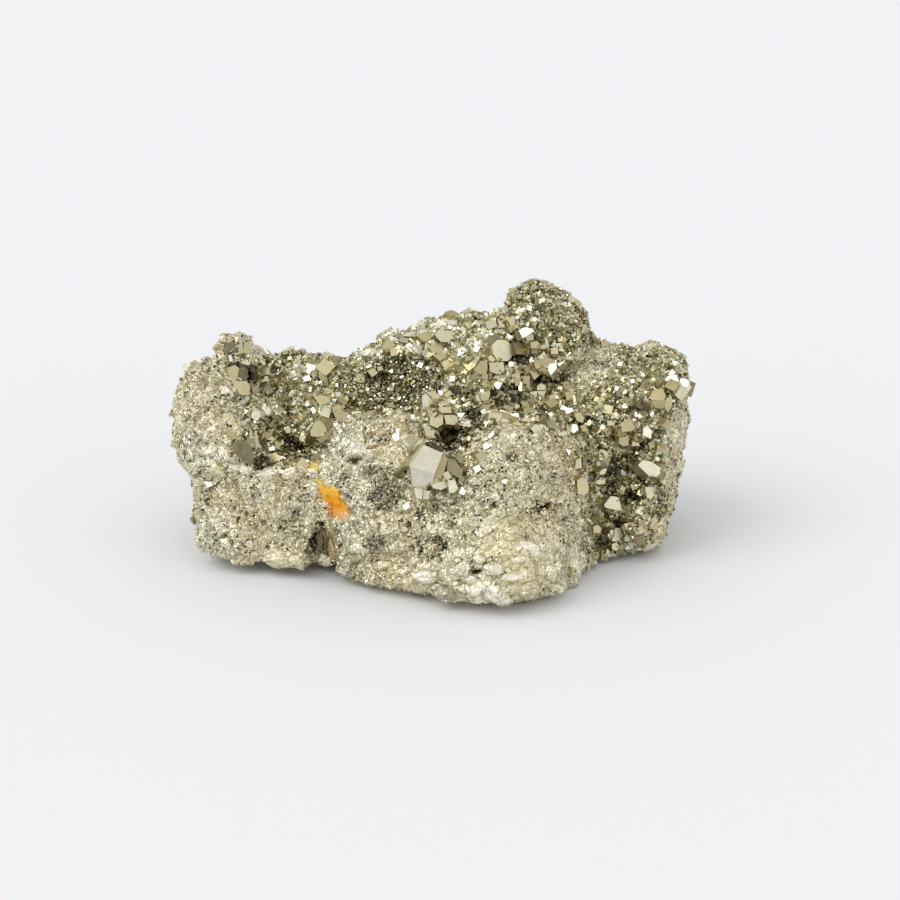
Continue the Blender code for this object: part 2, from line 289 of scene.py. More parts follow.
# %% [markdown]
# ## Crystal patterns
#
# Pyrite grows as cubes, as twelve-sided pyritohedra, and as cubes whose corners are cut off. Each
# pattern is the hull of a few corners, which Blender's convex hull turns into faces, and the flat
# groups of triangles are then dissolved into real crystal faces. Grains of the broken rock are hulls
# of random corners. A pattern's biggest face looks up, so that a crystal can be placed by saying where
# that face looks.

# %% Crystal patterns
FLAT = math.radians(1)


def hull_pattern(corners, upright=True):
    """The hull of some corners, one unit across: its points, its faces' corners and their lengths."""
    bm = bmesh.new()
    for corner in corners:
        bm.verts.new(corner)
    hull = bmesh.ops.convex_hull(bm, input=bm.verts)
    inside = [item for item in hull["geom_interior"] if isinstance(item, bmesh.types.BMVert)]
    bmesh.ops.delete(bm, geom=inside, context="VERTS")
    bmesh.ops.dissolve_limit(bm, angle_limit=FLAT, verts=bm.verts, edges=bm.edges)
    bmesh.ops.recalc_face_normals(bm, faces=bm.faces)
    biggest = max(bm.faces, key=lambda face: face.calc_area())
    turn = biggest.normal.to_track_quat("Z", "Y").to_matrix().inverted() if upright else Matrix.Identity(3)
    bm.verts.index_update()
    points = np.array([turn @ vert.co for vert in bm.verts])
    loops = np.array([vert.index for face in bm.faces for vert in face.verts])
    lengths = np.array([len(face.verts) for face in bm.faces])
    bm.free()
    return points / np.ptp(points, axis=0).max(), loops, lengths


def signs(*sizes):
    """Every corner that a triple gives with its signs changed."""
    choices = [(-size, size) if size else (0,) for size in sizes]
    return [(x, y, z) for x in choices[0] for y in choices[1] for z in choices[2]]


def round_about(*sizes):
    """The corners of a triple, its two cyclic turns, and all their signs."""
    x, y, z = sizes
    return signs(x, y, z) + signs(y, z, x) + signs(z, x, y)


CUBE = hull_pattern(signs(1, 1, 1))
BLOCK = hull_pattern(signs(1, 0.8, 0.62))
PYRITOHEDRON = hull_pattern(signs(1, 1, 1) + round_about(0, 1.5, 0.75))
CUT_CUBE = hull_pattern(round_about(1, 1, 0.62))
OCTAHEDRON = hull_pattern(signs(1, 0, 0) + signs(0, 1, 0) + signs(0, 0, 1))
for name, pattern in {"cube": CUBE, "octahedron": OCTAHEDRON, "block": BLOCK, "pyritohedron": PYRITOHEDRON,
                      "cut cube": CUT_CUBE}.items():
    print(name, "corners:", len(pattern[0]), "faces:", len(pattern[2]))

# %% [markdown]
# ## Grain patterns
#
# Where pyrite breaks it has no flat crystal faces, only blunt chips and, where it has worn, rounded
# lumps. They could be modelled one by one, but nobody would see the difference between a hundred of
# them. So nine chips and nine lumps are made, each the hull of random corners on a squashed ball: few
# corners give a chip, and many give a lump.

# %% Grain patterns
GRAIN_KINDS = 9
GRAIN_CORNERS = 9
GRAIN_SQUASH = (1, 0.85, 0.8)
PEBBLE_CORNERS = 46
PEBBLE_SQUASH = (1, 0.8, 0.7)
PEBBLE_UNEVEN = (0.86, 1.0)  # how far the corners of a lump stand from its middle


def on_ball(count, chance):
    """Random corners on a ball."""
    corners = chance.normal(size=(count, 3))
    return corners / np.linalg.norm(corners, axis=1)[:, None]


def grain_pattern(chance):
    """A blunt chip: the hull of random corners on a squashed ball."""
    corners = on_ball(GRAIN_CORNERS, chance)
    return hull_pattern([tuple(corner) for corner in corners * GRAIN_SQUASH])


def pebble_pattern(chance):
    """A rounded lump: the hull of many corners on a squashed ball."""
    corners = on_ball(PEBBLE_CORNERS, chance)
    corners *= chance.uniform(*PEBBLE_UNEVEN, size=(PEBBLE_CORNERS, 1))
    return hull_pattern([tuple(corner) for corner in corners * PEBBLE_SQUASH])


grain_chance = np.random.default_rng(5)
GRAINS = [grain_pattern(grain_chance) for _ in range(GRAIN_KINDS)]
PEBBLES = [pebble_pattern(grain_chance) for _ in range(GRAIN_KINDS)]
print("grain faces:", [len(pattern[2]) for pattern in GRAINS])

# %% [markdown]
# ## The rock
#
# The solid's surface is made of flat chips a few millimetres wide. Real massive pyrite breaks into
# lumps and grains down to half a millimetre. A voxel remesh of the solid gives an even net of about
# that fineness, and then each point is pushed out or in by what is around it: rounded lumps, each nearest
# to a seed of its own, and the pits and knobs that this specimen has.

# %% The rock's net
ROCK_VOXEL = 0.66 * MM
ROCK_SOFTEN = 4

solid = frame["nodes"]["pyrite"]
net = link("net", solid.data.copy())
remesh = net.modifiers.new("remesh", "REMESH")
remesh.mode = "VOXEL"
remesh.voxel_size = ROCK_VOXEL
soften = net.modifiers.new("soften", "SMOOTH")
soften.iterations = ROCK_SOFTEN
bpy.context.view_layer.update()
rock_mesh = bpy.data.meshes.new_from_object(net.evaluated_get(bpy.context.evaluated_depsgraph_get()))
bpy.data.objects.remove(net)
rock_mesh.name = "rock"
print("rock net points:", len(rock_mesh.vertices), "triangles:", 2 * len(rock_mesh.polygons))


# %% [markdown]
# ## Reading and sampling a surface
#
# numpy works on thousands of points at once, so the mesh is read into arrays. To scatter things evenly,
# a face is picked by chance with its area as its share, times a weight that says how well things grow
# there. A little jitter hides the net of the faces.

# %% Reading and sampling a surface
def read(items, field, width):
    """A field of many mesh items, as an array of rows."""
    flat = np.empty(len(items) * width, dtype=np.float32)
    items.foreach_get(field, flat)
    return flat.astype(float).reshape(-1, width)


class Surface:
    """The rock's faces as centres, directions and areas, to scatter things over."""

    def __init__(self, mesh):
        self.centre = read(mesh.polygons, "center", 3)
        self.normal = read(mesh.polygons, "normal", 3)
        self.area = read(mesh.polygons, "area", 1)[:, 0]

    def scatter(self, weight, count, chance):
        """Places and directions for a number of things, by area times weight."""
        share = self.area * weight
        picked = chance.choice(len(share), size=count, p=share / share.sum())
        jitter = chance.uniform(-0.5, 0.5, size=(count, 3)) * ROCK_VOXEL
        return self.centre[picked] + jitter, self.normal[picked]


# %% [markdown]
# ## Zones
#
# What grows where is drawn as outlines on the picture, for the faces that look towards the camera.
# The rest follows a rule: the top of the crest carries crystals, and the sides, the back and the
# underside are plain broken rock.

# %% Zones
ZONES = {
    "left valley": ((246, 362), (262, 357), (285, 351), (330, 356), (354, 364), (350, 390), (345, 415),
        (325, 440), (316, 463), (300, 468), (280, 462), (255, 470), (240, 462), (240, 436), (246, 412),
        (252, 392)),
    "bowl": ((354, 372), (385, 354), (425, 357), (450, 374), (432, 400), (414, 414), (386, 406), (362, 414),
        (346, 406), (347, 388)),
    "ridge": ((354, 366), (360, 346), (395, 328), (430, 320), (470, 312), (507, 300), (510, 334),
        (530, 350), (560, 376), (596, 394), (560, 402), (520, 392), (470, 388), (450, 374), (425, 357),
        (385, 354)),
    "knob": ((507, 296), (520, 278), (552, 280), (578, 298), (596, 328), (600, 346), (572, 360), (546, 357),
        (528, 348), (510, 334)),
    "pocket": ((432, 404), (470, 388), (520, 392), (560, 402), (584, 420), (572, 430), (548, 424),
        (520, 416), (484, 428), (462, 452), (444, 452), (430, 440), (416, 424)),
    "right wall": ((560, 402), (600, 394), (640, 392), (662, 372), (692, 368), (690, 392), (664, 425),
        (664, 480), (664, 510), (650, 545), (622, 554), (598, 552), (592, 520), (588, 470), (584, 440),
        (572, 424)),
    "foot": ((404, 566), (425, 556), (455, 550), (476, 545), (490, 524), (520, 518), (548, 528), (574, 545),
        (590, 560), (592, 590), (560, 606), (480, 612), (440, 604), (404, 590)),
    "ochre": ((308, 461), (312, 460), (318, 462), (319, 468), (319, 478), (325, 484), (333, 486),
        (339, 489), (343, 500), (349, 508), (352, 515), (349, 520), (344, 522), (338, 520), (334, 516),
        (329, 511), (322, 506), (321, 498), (319, 488), (314, 479), (309, 470)),
    "pitted left": ((368, 466), (384, 464), (404, 468), (409, 484), (402, 500), (386, 514), (374, 508)),
    "pitted middle": ((417, 540), (430, 536), (453, 540), (452, 554), (434, 562), (417, 561)),
    "pitted low": ((364, 534), (382, 534), (386, 550), (372, 556), (362, 548)),
    "right roof": ((560, 376), (590, 348), (650, 348), (694, 346), (692, 368), (662, 372), (640, 392),
        (596, 394)),
    "roof face": ((553, 374), (561, 362), (572, 352), (584, 344), (600, 343), (612, 350), (620, 360),
        (610, 372), (596, 381), (580, 388), (566, 386), (556, 380)),
}
print("zones drawn:", ", ".join(ZONES))

# %% [markdown]
# ## Which zone a point is in
#
# A point of the rock is put into the picture, and a line from it to the left is followed: an odd number
# of crossed edges means that it lies inside. A point that looks away from the camera is in no outline.

# %% Which zone a point is in
def inside_outline(spots, outline):
    """Which spots of the picture lie inside an outline, by counting crossed edges."""
    corners = np.array(outline, dtype=float)
    crossed = np.zeros(len(spots), dtype=int)
    for start, end in zip(corners, np.roll(corners, -1, axis=0)):
        spans = (start[1] > spots[:, 1]) != (end[1] > spots[:, 1])
        rise = (spots[:, 1] - start[1]) / (end[1] - start[1] + 1e-9)
        crossed += spans & (spots[:, 0] < start[0] + rise * (end[0] - start[0]))
    return crossed % 2 == 1


CREST_HEIGHT = 30 * MM
CREST_BACK = 24 * MM
CREST_LEFT = -30 * MM
CREST_UP = 0.3
FACING = 0.05


def zone_masks(points, normals):
    """For each zone, which points are in it. "crest" is out of the camera's sight, "plain" the rest."""
    spots = picture_of(points)
    to_eye = np.array(EYE) - points
    facing = (normals * to_eye).sum(axis=1) / np.linalg.norm(to_eye, axis=1) > FACING
    masks = {name: facing & inside_outline(spots, outline) for name, outline in ZONES.items()}
    high = (points[:, 2] > CREST_HEIGHT) & (points[:, 1] < CREST_BACK) & (points[:, 0] > CREST_LEFT)
    masks["crest"] = ~facing & high & (normals[:, 2] > CREST_UP)
    masks["plain"] = ~np.any(list(masks.values()), axis=0)
    return masks


# %% [markdown]
# ## Lumps
#
# Broken pyrite is lumpy at every size. A noise texture would give soft hills, but the real lumps are
# round and meet in sharp creases. So seeds are scattered over the rock, and each point is pushed out by
# how much nearer its own seed is than the next one. Three sizes of lumps add up.

# %% Lumps
LUMPS = (  # spacing, height and seed
    (5.2 * MM, 0.7 * MM, 20),
    (2.9 * MM, 0.6 * MM, 21),
    (1.6 * MM, 0.3 * MM, 22),
)
LUMP_CROWDING = 1.3  # seeds for each square of the spacing
LUMP_LEVEL = 0.6  # the part of a lump that stays under the old surface

points = read(rock_mesh.vertices, "co", 3)
normals = read(rock_mesh.vertex_normals, "vector", 3)
surface = Surface(rock_mesh)


def lumps(spacing, seed):
    """For each point, 1 in the middle of a rounded lump and 0 in the creases between lumps."""
    chance = np.random.default_rng(seed)
    count = int(surface.area.sum() / spacing ** 2 * LUMP_CROWDING)
    seeds, _ = surface.scatter(np.ones(len(surface.area)), count, chance)
    tree = KDTree(count)
    for index, seed_point in enumerate(seeds):
        tree.insert(seed_point, index)
    tree.balance()
    nearest = np.array([[found[2] for found in tree.find_n(point, 2)] for point in points])
    return 1 - (nearest[:, 0] / (nearest[:, 1] + 1e-9)) ** 2


push = sum(height * (lumps(spacing, seed) - LUMP_LEVEL) for spacing, height, seed in LUMPS)
print("lumps push the rock by, mm:", round(push.min() / MM, 2), "to", round(push.max() / MM, 2))

# %% [markdown]
# ## Tone and calm
#
# Tone says how dark or pale the rock is, and it carries painted shade: 0 is the near black of painted
# shade, 0.5 is ordinary broken rock, and 1 is fresh and pale, partly as painted light. Each zone has its
# own, so that the gaps between crystals are painted dark as shade. The foot is calm: its rock is worn
# smooth, so its lumps are lower and its grains shine less.

# %% Tone and calm
ZONE_TONES_AND_SHADE = {
    "left valley": 0.09, "bowl": 0.03, "ridge": 0.32, "knob": 0.15, "pocket": 0.05, "right wall": 0.05,
    "right roof": 0.5, "crest": 0.25, "plain": 0.5, "foot": 0.5, "ochre": 0.5, "pitted left": 0.3,
    "pitted middle": 0.5, "pitted low": 0.3, "roof face": 0.5,
}
CALM_SHARE = 0.4  # how much lower the lumps of the calm foot are

spots = picture_of(points)
zones_here = zone_masks(points, normals)
tone_and_shade = sum(zones_here[name] * value for name, value in ZONE_TONES_AND_SHADE.items())
tone_and_shade /= np.maximum(1, sum(mask.astype(int) for mask in zones_here.values()))
calm = zones_here["foot"].astype(float)
push *= 1 - CALM_SHARE * calm
print("calm points:", int(calm.sum()), "of", len(points))

# %% [markdown]
# ## Pits and knobs
#
# The specimen's own pits, ledges and pale knobs are given one by one: the place and the size in the
# picture, how far the rock rises or sinks there, and its tone. A pit's tone near 0 paints shade into it.
# Each is a dome or a dent over an ellipse, so they could be sculpted too, but as a list each of them can be
# moved by changing one row.

# %% Pits and knobs
ROCK_FORMS = (  # across, down, width and height in pixels, rise in mm, tone
    (461, 570, 24, 19, 0.9, 0.75), (493, 569, 21, 15, 1.0, 1.0), (529, 549, 23, 15, 0.9, 1.0),
    (482, 593, 32, 22, 1.2, 0.95), (512, 576, 18, 14, 0.8, 0.95), (549, 572, 22, 18, 0.7, 0.7),
    (479, 560, 13, 11, 0.7, 0.8), (425, 578, 24, 13, 0.9, 0.95), (520, 592, 30, 18, 0.9, 0.6),
    (557, 586, 20, 16, 0.7, 0.65), (476, 570, 9, 8, -1.4, 0.0), (281, 473, 54, 12, 0.8, 0.9),
    (215, 455, 34, 18, 0.6, 0.95), (246, 468, 13, 11, 0.8, 1.0), (222, 476, 34, 14, 0.3, 0.35),
    (452, 438, 38, 30, -1.8, 0.0), (512, 457, 9, 12, -1.1, 0.0), (536, 505, 8, 8, -1.2, 0.0),
    (549, 505, 8, 8, -1.2, 0.0), (543, 508, 14, 5, -1.0, 0.05), (496, 505, 6, 6, -0.9, 0.0),
    (481, 514, 8, 4, -0.7, 0.1), (419, 514, 7, 12, -0.9, 0.1), (409, 525, 6, 5, -0.8, 0.1),
    (436, 541, 14, 7, -0.9, 0.05), (444, 547, 7, 7, -0.9, 0.0), (421, 551, 5, 9, -0.9, 0.0),
    (412, 549, 5, 7, -0.9, 0.05), (450, 525, 6, 5, -0.7, 0.2), (296, 513, 5, 9, -0.9, 0.0),
    (266, 549, 5, 7, -0.9, 0.0), (247, 513, 5, 5, -0.8, 0.0), (213, 484, 12, 12, -0.7, 0.1),
    (204, 510, 5, 6, -0.7, 0.1), (237, 520, 5, 6, -0.8, 0.1), (280, 529, 4, 5, -0.7, 0.1),
    (223, 538, 5, 7, -0.8, 0.1), (200, 418, 5, 6, -0.6, 0.1), (193, 404, 4, 4, -0.6, 0.1),
    (188, 369, 14, 10, 0.5, 0.75), (372, 474, 26, 10, -0.6, 0.35), (374, 497, 14, 12, -0.9, 0.15),
    (384, 480, 9, 12, -0.8, 0.15), (355, 460, 14, 9, -1.0, 0.15), (340, 452, 13, 7, -0.8, 0.3),
    (378, 545, 22, 14, -0.7, 0.25), (586, 500, 6, 8, -0.8, 0.1), (565, 520, 10, 6, -0.7, 0.2),
    (318, 528, 14, 12, -2.0, 0.05), (322, 543, 24, 24, -1.6, 0.05), (355, 448, 26, 18, 0.6, 0.95),
    (370, 455, 16, 12, 0.6, 0.65), (540, 470, 40, 60, 0.0, 0.6), (252, 373, 12, 22, -1.4, 0.0),
    (270, 432, 20, 24, -1.0, 0.05), (288, 440, 18, 20, -1.0, 0.05), (289, 413, 12, 18, -0.9, 0.05),
    (259, 464, 12, 10, -1.0, 0.0), (578, 368, 62, 30, 1.2, 0.55), (378, 440, 22, 12, 0.0, 0.3),
)
FORM_EDGE = 2.5  # the tone fills a form sooner than its rise does
BASE_KEPT = 0.6 * MM  # the rock stands on its lowest points, so they aren't moved

to_camera = normals @ np.array(AHEAD) < 0
for across, down, wide, high, rise, value in ROCK_FORMS:
    away = ((spots[:, 0] - across) / wide * 2) ** 2 + ((spots[:, 1] - down) / high * 2) ** 2
    dome = np.clip(1.0 - away, 0, 1) * to_camera
    push += np.sqrt(dome) * rise * MM
    share = np.clip(dome * FORM_EDGE, 0, 1)
    tone_and_shade = tone_and_shade * (1 - share) + value * share
push[points[:, 2] < BASE_KEPT] = 0
moved = points + normals * push[:, None]
print("forms:", len(ROCK_FORMS), "the rock moves by, mm:", round(push.min() / MM, 2), "to",
      round(push.max() / MM, 2))

# %% [markdown]
# ## The undercut
#
# A rough stone touches its shelf only here and there. Along the front its foot curves in, and the dark
# line under it is what makes it look heavy. The lowest few millimetres are drawn back along y, more the
# lower they are, in stretches that fade into each other.

# %% The undercut
UNDERCUTS = (  # high and deep, then from and to along y, and from and to along x
    (2.6 * MM, 4.2 * MM, -60 * MM, -22 * MM, -80 * MM, 80 * MM),
    (1.5 * MM, 3.2 * MM, -22 * MM, -6 * MM, -80 * MM, 28 * MM),
    (2.0 * MM, 3.8 * MM, -24 * MM, 4 * MM, 27 * MM, 80 * MM),
)
UNDERCUT_BEND = 1.5
FADE_BACK = 4 * MM
FADE_SIDE = 6 * MM

for high, deep, start, end, left, right in UNDERCUTS:
    low = np.clip(1 - moved[:, 2] / high, 0, 1) ** UNDERCUT_BEND
    here = np.clip((end - points[:, 1]) / FADE_BACK, 0, 1) * (points[:, 1] > start)
    here *= np.clip(np.minimum(points[:, 0] - left, right - points[:, 0]) / FADE_SIDE, 0, 1)
    moved[:, 1] += deep * low * here
moved[:, 2] = np.maximum(moved[:, 2], CAD_BOX[0][2])
print("the undercut's deepest, mm:", round(max(deep for _, deep, *_ in UNDERCUTS) / MM, 1))

# %% [markdown]
# ## The finished rock
#
# The moved points go back into the mesh in one call, with tone and calm as attributes that the material
# can read. The rock takes the place of the solid, and everything else is scattered over its new surface.

# %% The finished rock
rock_mesh.vertices.foreach_set("co", moved.astype(np.float32).ravel())
rock_mesh.update()
for name, values in {"tone_and_shade": tone_and_shade, "calm": calm}.items():
    layer = rock_mesh.attributes.new(name, "FLOAT", "POINT")
    layer.data.foreach_set("value", values.astype(np.float32))
rock = link("rock", rock_mesh)
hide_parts("pyrite")
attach(rock, "root")
surface = Surface(rock_mesh)
masks = zone_masks(surface.centre, surface.normal)
print("zone areas, mm2:", {name: round(float(surface.area[mask].sum() / MM ** 2))
                           for name, mask in masks.items()})

# %% [markdown]
# ## Shared effects
#
# Several materials need the same effects, so each effect is a node group with named inputs: built once,
# and placed in a material with that material's own values. The first one, "cleaved grains", cuts the
# surface into small cells and tips the normal of each its own way. That is what makes broken pyrite
# glitter: every grain is a little mirror. A bump map would only make the surface wavy.

# %% Cleaved grains
def new_group(name, sockets):
    """An empty node group with its sockets: label, direction, kind and value."""
    group = bpy.data.node_groups.new(name, "ShaderNodeTree")
    for label, direction, kind, value in sockets:
        socket = group.interface.new_socket(label, in_out=direction, socket_type=kind)
        if value is not None:
            socket.default_value = value
    return group, group.nodes.new("NodeGroupInput"), group.nodes.new("NodeGroupOutput")


def cells_of(group, given):
    """Cells in the object's own space, as many to the metre as the group is given."""
    place = node(group, "ShaderNodeTexCoord")
    return node(group, "ShaderNodeTexVoronoi",
                {"Vector": place.outputs["Object"], "Scale": given.outputs["Cells per metre"]})


def cleaved_grains():
    group, given, gives = new_group("cleaved grains", (
        ("Cells per metre", "INPUT", "NodeSocketFloat", 1800.0),
        ("Tilt", "INPUT", "NodeSocketFloat", 0.6),
        ("Normal", "INPUT", "NodeSocketVector", None),
        ("Normal", "OUTPUT", "NodeSocketVector", None),
        ("Shade", "OUTPUT", "NodeSocketFloat", None),
    ))
    cells = cells_of(group, given)
    centred = node(group, "ShaderNodeVectorMath",
                   {0: cells.outputs["Color"], 1: (0.5, 0.5, 0.5)}, operation="SUBTRACT")
    tipped = node(group, "ShaderNodeVectorMath",
                  {0: centred.outputs[0], "Scale": given.outputs["Tilt"]}, operation="SCALE")
    summed = node(group, "ShaderNodeVectorMath",
                  {0: given.outputs["Normal"], 1: tipped.outputs[0]}, operation="ADD")
    unit = node(group, "ShaderNodeVectorMath", {0: summed.outputs[0]}, operation="NORMALIZE")
    group.links.new(unit.outputs[0], gives.inputs["Normal"])
    grey = node(group, "ShaderNodeSeparateColor", {0: cells.outputs["Color"]})
    group.links.new(grey.outputs[0], gives.inputs["Shade"])
    return group


CLEAVED_GRAINS = cleaved_grains()
print("made the group", CLEAVED_GRAINS.name)

# %% [markdown]
# ## Picked cells
#
# Pinholes and bright specks are both small dots in random places; the pinholes are painted dark as their
# shade. A few cells are picked by chance, and the middle of each is given as a mask, which a material can
# use for either.

# %% Picked cells
DOT_EDGE = (0.3, 0.5)  # a dot fades from here to there, as a share of a cell


def picked_cells():
    group, given, gives = new_group("picked cells", (
        ("Cells per metre", "INPUT", "NodeSocketFloat", 1400.0),
        ("Share", "INPUT", "NodeSocketFloat", 0.15),
        ("Mask", "OUTPUT", "NodeSocketFloat", None),
    ))
    cells = cells_of(group, given)
    chance = node(group, "ShaderNodeSeparateColor", {0: cells.outputs["Color"]})
    picked = node(group, "ShaderNodeMath", {0: chance.outputs[1], 1: given.outputs["Share"]},
                  operation="LESS_THAN")
    near = node(group, "ShaderNodeMapRange",
                {0: cells.outputs["Distance"], 1: DOT_EDGE[0], 2: DOT_EDGE[1], 3: 1.0, 4: 0.0})
    mask = node(group, "ShaderNodeMath", {0: picked.outputs[0], 1: near.outputs[0]},
                operation="MULTIPLY")
    group.links.new(mask.outputs[0], gives.inputs["Mask"])
    return group


PICKED_CELLS = picked_cells()
print("made the group", PICKED_CELLS.name)

# %% [markdown]
# ## Creases
#
# Where plates of rock meet there is a thin crack, and its shade is painted as a thin dark line. The lines
# follow the edges of big cells, bent by noise so that they wander, and a wider noise leaves them out in
# places, because real ones come and go.

# %% Creases
BEND_SCALE = 500.0
BEND_WIDTH = 2.2 * MM
GAP_SCALE = 160.0
GAP_EDGE = (0.45, 0.6)


def creases():
    group, given, gives = new_group("creases", (
        ("Cells per metre", "INPUT", "NodeSocketFloat", 300.0),
        ("Width", "INPUT", "NodeSocketFloat", 0.08),
        ("Mask", "OUTPUT", "NodeSocketFloat", None),
    ))
    place = node(group, "ShaderNodeTexCoord").outputs["Object"]
    bend = node(group, "ShaderNodeTexNoise", {"Vector": place, "Scale": BEND_SCALE, "Detail": 2.0})
    shift = node(group, "ShaderNodeVectorMath", {0: bend.outputs["Color"], "Scale": BEND_WIDTH},
                 operation="SCALE")
    bent = node(group, "ShaderNodeVectorMath", {0: place, 1: shift.outputs[0]}, operation="ADD")
    edges = node(group, "ShaderNodeTexVoronoi",
                 {"Vector": bent.outputs[0], "Scale": given.outputs["Cells per metre"]},
                 feature="DISTANCE_TO_EDGE")
    line = node(group, "ShaderNodeMapRange",
                {0: edges.outputs["Distance"], 1: 0.0, 2: given.outputs["Width"], 3: 1.0, 4: 0.0})
    gaps = node(group, "ShaderNodeTexNoise", {"Vector": place, "Scale": GAP_SCALE, "Detail": 1.0})
    here = node(group, "ShaderNodeMapRange",
                {0: gaps.outputs["Fac"], 1: GAP_EDGE[0], 2: GAP_EDGE[1], 3: 0.0, 4: 1.0})
    mask = node(group, "ShaderNodeMath", {0: line.outputs[0], 1: here.outputs[0]}, operation="MULTIPLY")
    group.links.new(mask.outputs[0], gives.inputs["Mask"])
    return group


CREASES = creases()
print("node groups:", [group.name for group in bpy.data.node_groups])

# %% [markdown]
# ## Helpers for materials
#
# Every material here mixes colours, reads noise, stretches a value from one range to another, and places
# the shared groups. Each of these gets a short function that gives back the socket to link on.

# %% Helpers for materials
def new_material(name, metallic, roughness):
    made = bpy.data.materials.new(name)
    made.use_nodes = True
    shader = made.node_tree.nodes["Principled BSDF"]
    shader.inputs["Metallic"].default_value = metallic
    shader.inputs["Roughness"].default_value = roughness
    return made, made.node_tree, shader


def mixed(tree, factor, first, second, blend="MIX"):
    mix = node(tree, "ShaderNodeMix", {0: factor, 6: first, 7: second}, data_type="RGBA",
               blend_type=blend)
    return mix.outputs[2]


def washed(tree, first, second):
    """One colour laid over another like a thin paint."""
    return mixed(tree, 1.0, first, second, "MULTIPLY")


def reckon(tree, operation, first, second):
    return node(tree, "ShaderNodeMath", {0: first, 1: second}, operation=operation).outputs[0]


def face_value(tree, name):
    """An attribute that the mesh carries."""
    return node(tree, "ShaderNodeAttribute", attribute_name=name).outputs["Fac"]


def noise(tree, scale, detail=2.0):
    place = node(tree, "ShaderNodeTexCoord")
    return node(tree, "ShaderNodeTexNoise",
                {"Vector": place.outputs["Object"], "Scale": scale, "Detail": detail}).outputs["Fac"]


def ranged(tree, value, low, high, first=0.0, last=1.0):
    return node(tree, "ShaderNodeMapRange", {0: value, 1: low, 2: high, 3: first, 4: last}).outputs[0]


def grainy(tree, normal, cells, tilt):
    return node(tree, "ShaderNodeGroup", {"Cells per metre": cells, "Tilt": tilt, "Normal": normal},
                node_tree=CLEAVED_GRAINS)


def picked(tree, cells, share):
    group = node(tree, "ShaderNodeGroup", {"Cells per metre": cells, "Share": share},
                 node_tree=PICKED_CELLS)
    return group.outputs["Mask"]


def colour_ramp(tree, place, stops):
    """A run of colours, from stops that are each a place from 0 to 1 and a colour."""
    ramp = node(tree, "ShaderNodeValToRGB", {0: place})
    while len(ramp.color_ramp.elements) < len(stops):
        ramp.color_ramp.elements.new(0.5)
    for element, (stop, colour) in zip(ramp.color_ramp.elements, stops):
        element.position = stop
        element.color = colour
    return ramp.outputs[0]


# %% [markdown]
# ## Rock material
#
# Broken pyrite is a metal to the light, but a dull one: its grains are rough. The colour goes from olive
# grey to grey-beige from grain to grain, with wide, faint patches over that. Three sizes of cleaved grains
# sit on each other: plates, coarse grains and fine ones. The tone of each place paints shade: it darkens
# its pits and the druse between crystals to near black. It pales its fresh spots, partly as painted light.
# Pinholes and creases are painted dark as shade too.

# %% Rock material
ROCK_PALE = (0.89, 0.865, 0.715, 1)
ROCK_DEEP = (0.51, 0.475, 0.335, 1)
ROCK_WARM = (0.97, 0.915, 0.78, 1)
ROCK_COOL = (0.98, 0.985, 0.96, 1)
# painted shade: the near black of the hollows, the pits and the creases
SHADE_BLACK = (0.045, 0.04, 0.02, 1)
# fresh pale pyrite, and on the palest places painted light
FRESH_AND_LIT = (0.92, 0.88, 0.74, 1)
NO_WASH = (1, 1, 1, 1)
RIGHT_WASH = (1.0, 0.985, 0.94, 1)  # the lobe and the right block are a little warmer
RIGHT_BEGINS = (-25 * MM, 5 * MM)
PLATE_CELLS = (330.0, 0.3)  # to the metre, and tilt
COARSE_CELLS = (950.0, 0.45)
FINE_CELLS = 3000.0
PIT_CELLS = 1500.0
CALM_PITS = 0.15
SPECK_CELLS = 1300.0
CREASE_CELLS = 330.0
CREASE_WIDTH = 0.07
CREASE_SHADE = 0.6
ROCK_DULL = (0.45, 0.22)  # roughness of the darkest and of the palest grains


def grain_colour(tree, shade):
    """Grey-beige grains, with wide patches and a warmer right side over them."""
    colour = mixed(tree, shade, ROCK_DEEP, ROCK_PALE)
    patches = mixed(tree, ranged(tree, noise(tree, 90.0), 0.35, 0.65), ROCK_WARM, ROCK_COOL)
    place = node(tree, "ShaderNodeTexCoord").outputs["Object"]
    side = ranged(tree, node(tree, "ShaderNodeSeparateXYZ", {0: place}).outputs["X"], *RIGHT_BEGINS)
    return washed(tree, washed(tree, colour, patches), mixed(tree, side, NO_WASH, RIGHT_WASH))


def shaded_and_specked(tree, colour, calm, pits):
    """Painted shade in the hollows, pits and creases, pale places partly painted light, and fresh specks,
    by how dark or pale each place is.
    """
    tone_and_shade_here = face_value(tree, "tone_and_shade")
    colour = mixed(tree, ranged(tree, tone_and_shade_here, 0.0, 0.5), SHADE_BLACK, colour)
    colour = mixed(tree, ranged(tree, tone_and_shade_here, 0.5, 1.0, 0.0, 0.8), colour, FRESH_AND_LIT)
    share = ranged(tree, noise(tree, 240.0), 0.5, 0.72, *pits)
    share = reckon(tree, "MULTIPLY", share, ranged(tree, calm, 0.0, 1.0, 1.0, CALM_PITS))
    colour = mixed(tree, picked(tree, PIT_CELLS, share), colour, SHADE_BLACK)
    lines = node(tree, "ShaderNodeGroup", {"Cells per metre": CREASE_CELLS, "Width": CREASE_WIDTH},
                 node_tree=CREASES).outputs["Mask"]
    colour = mixed(tree, reckon(tree, "MULTIPLY", lines, CREASE_SHADE), colour, SHADE_BLACK)
    specks = picked(tree, SPECK_CELLS, ranged(tree, noise(tree, 130.0), 0.4, 0.65, 0.02, 0.1))
    return mixed(tree, specks, colour, FRESH_AND_LIT)


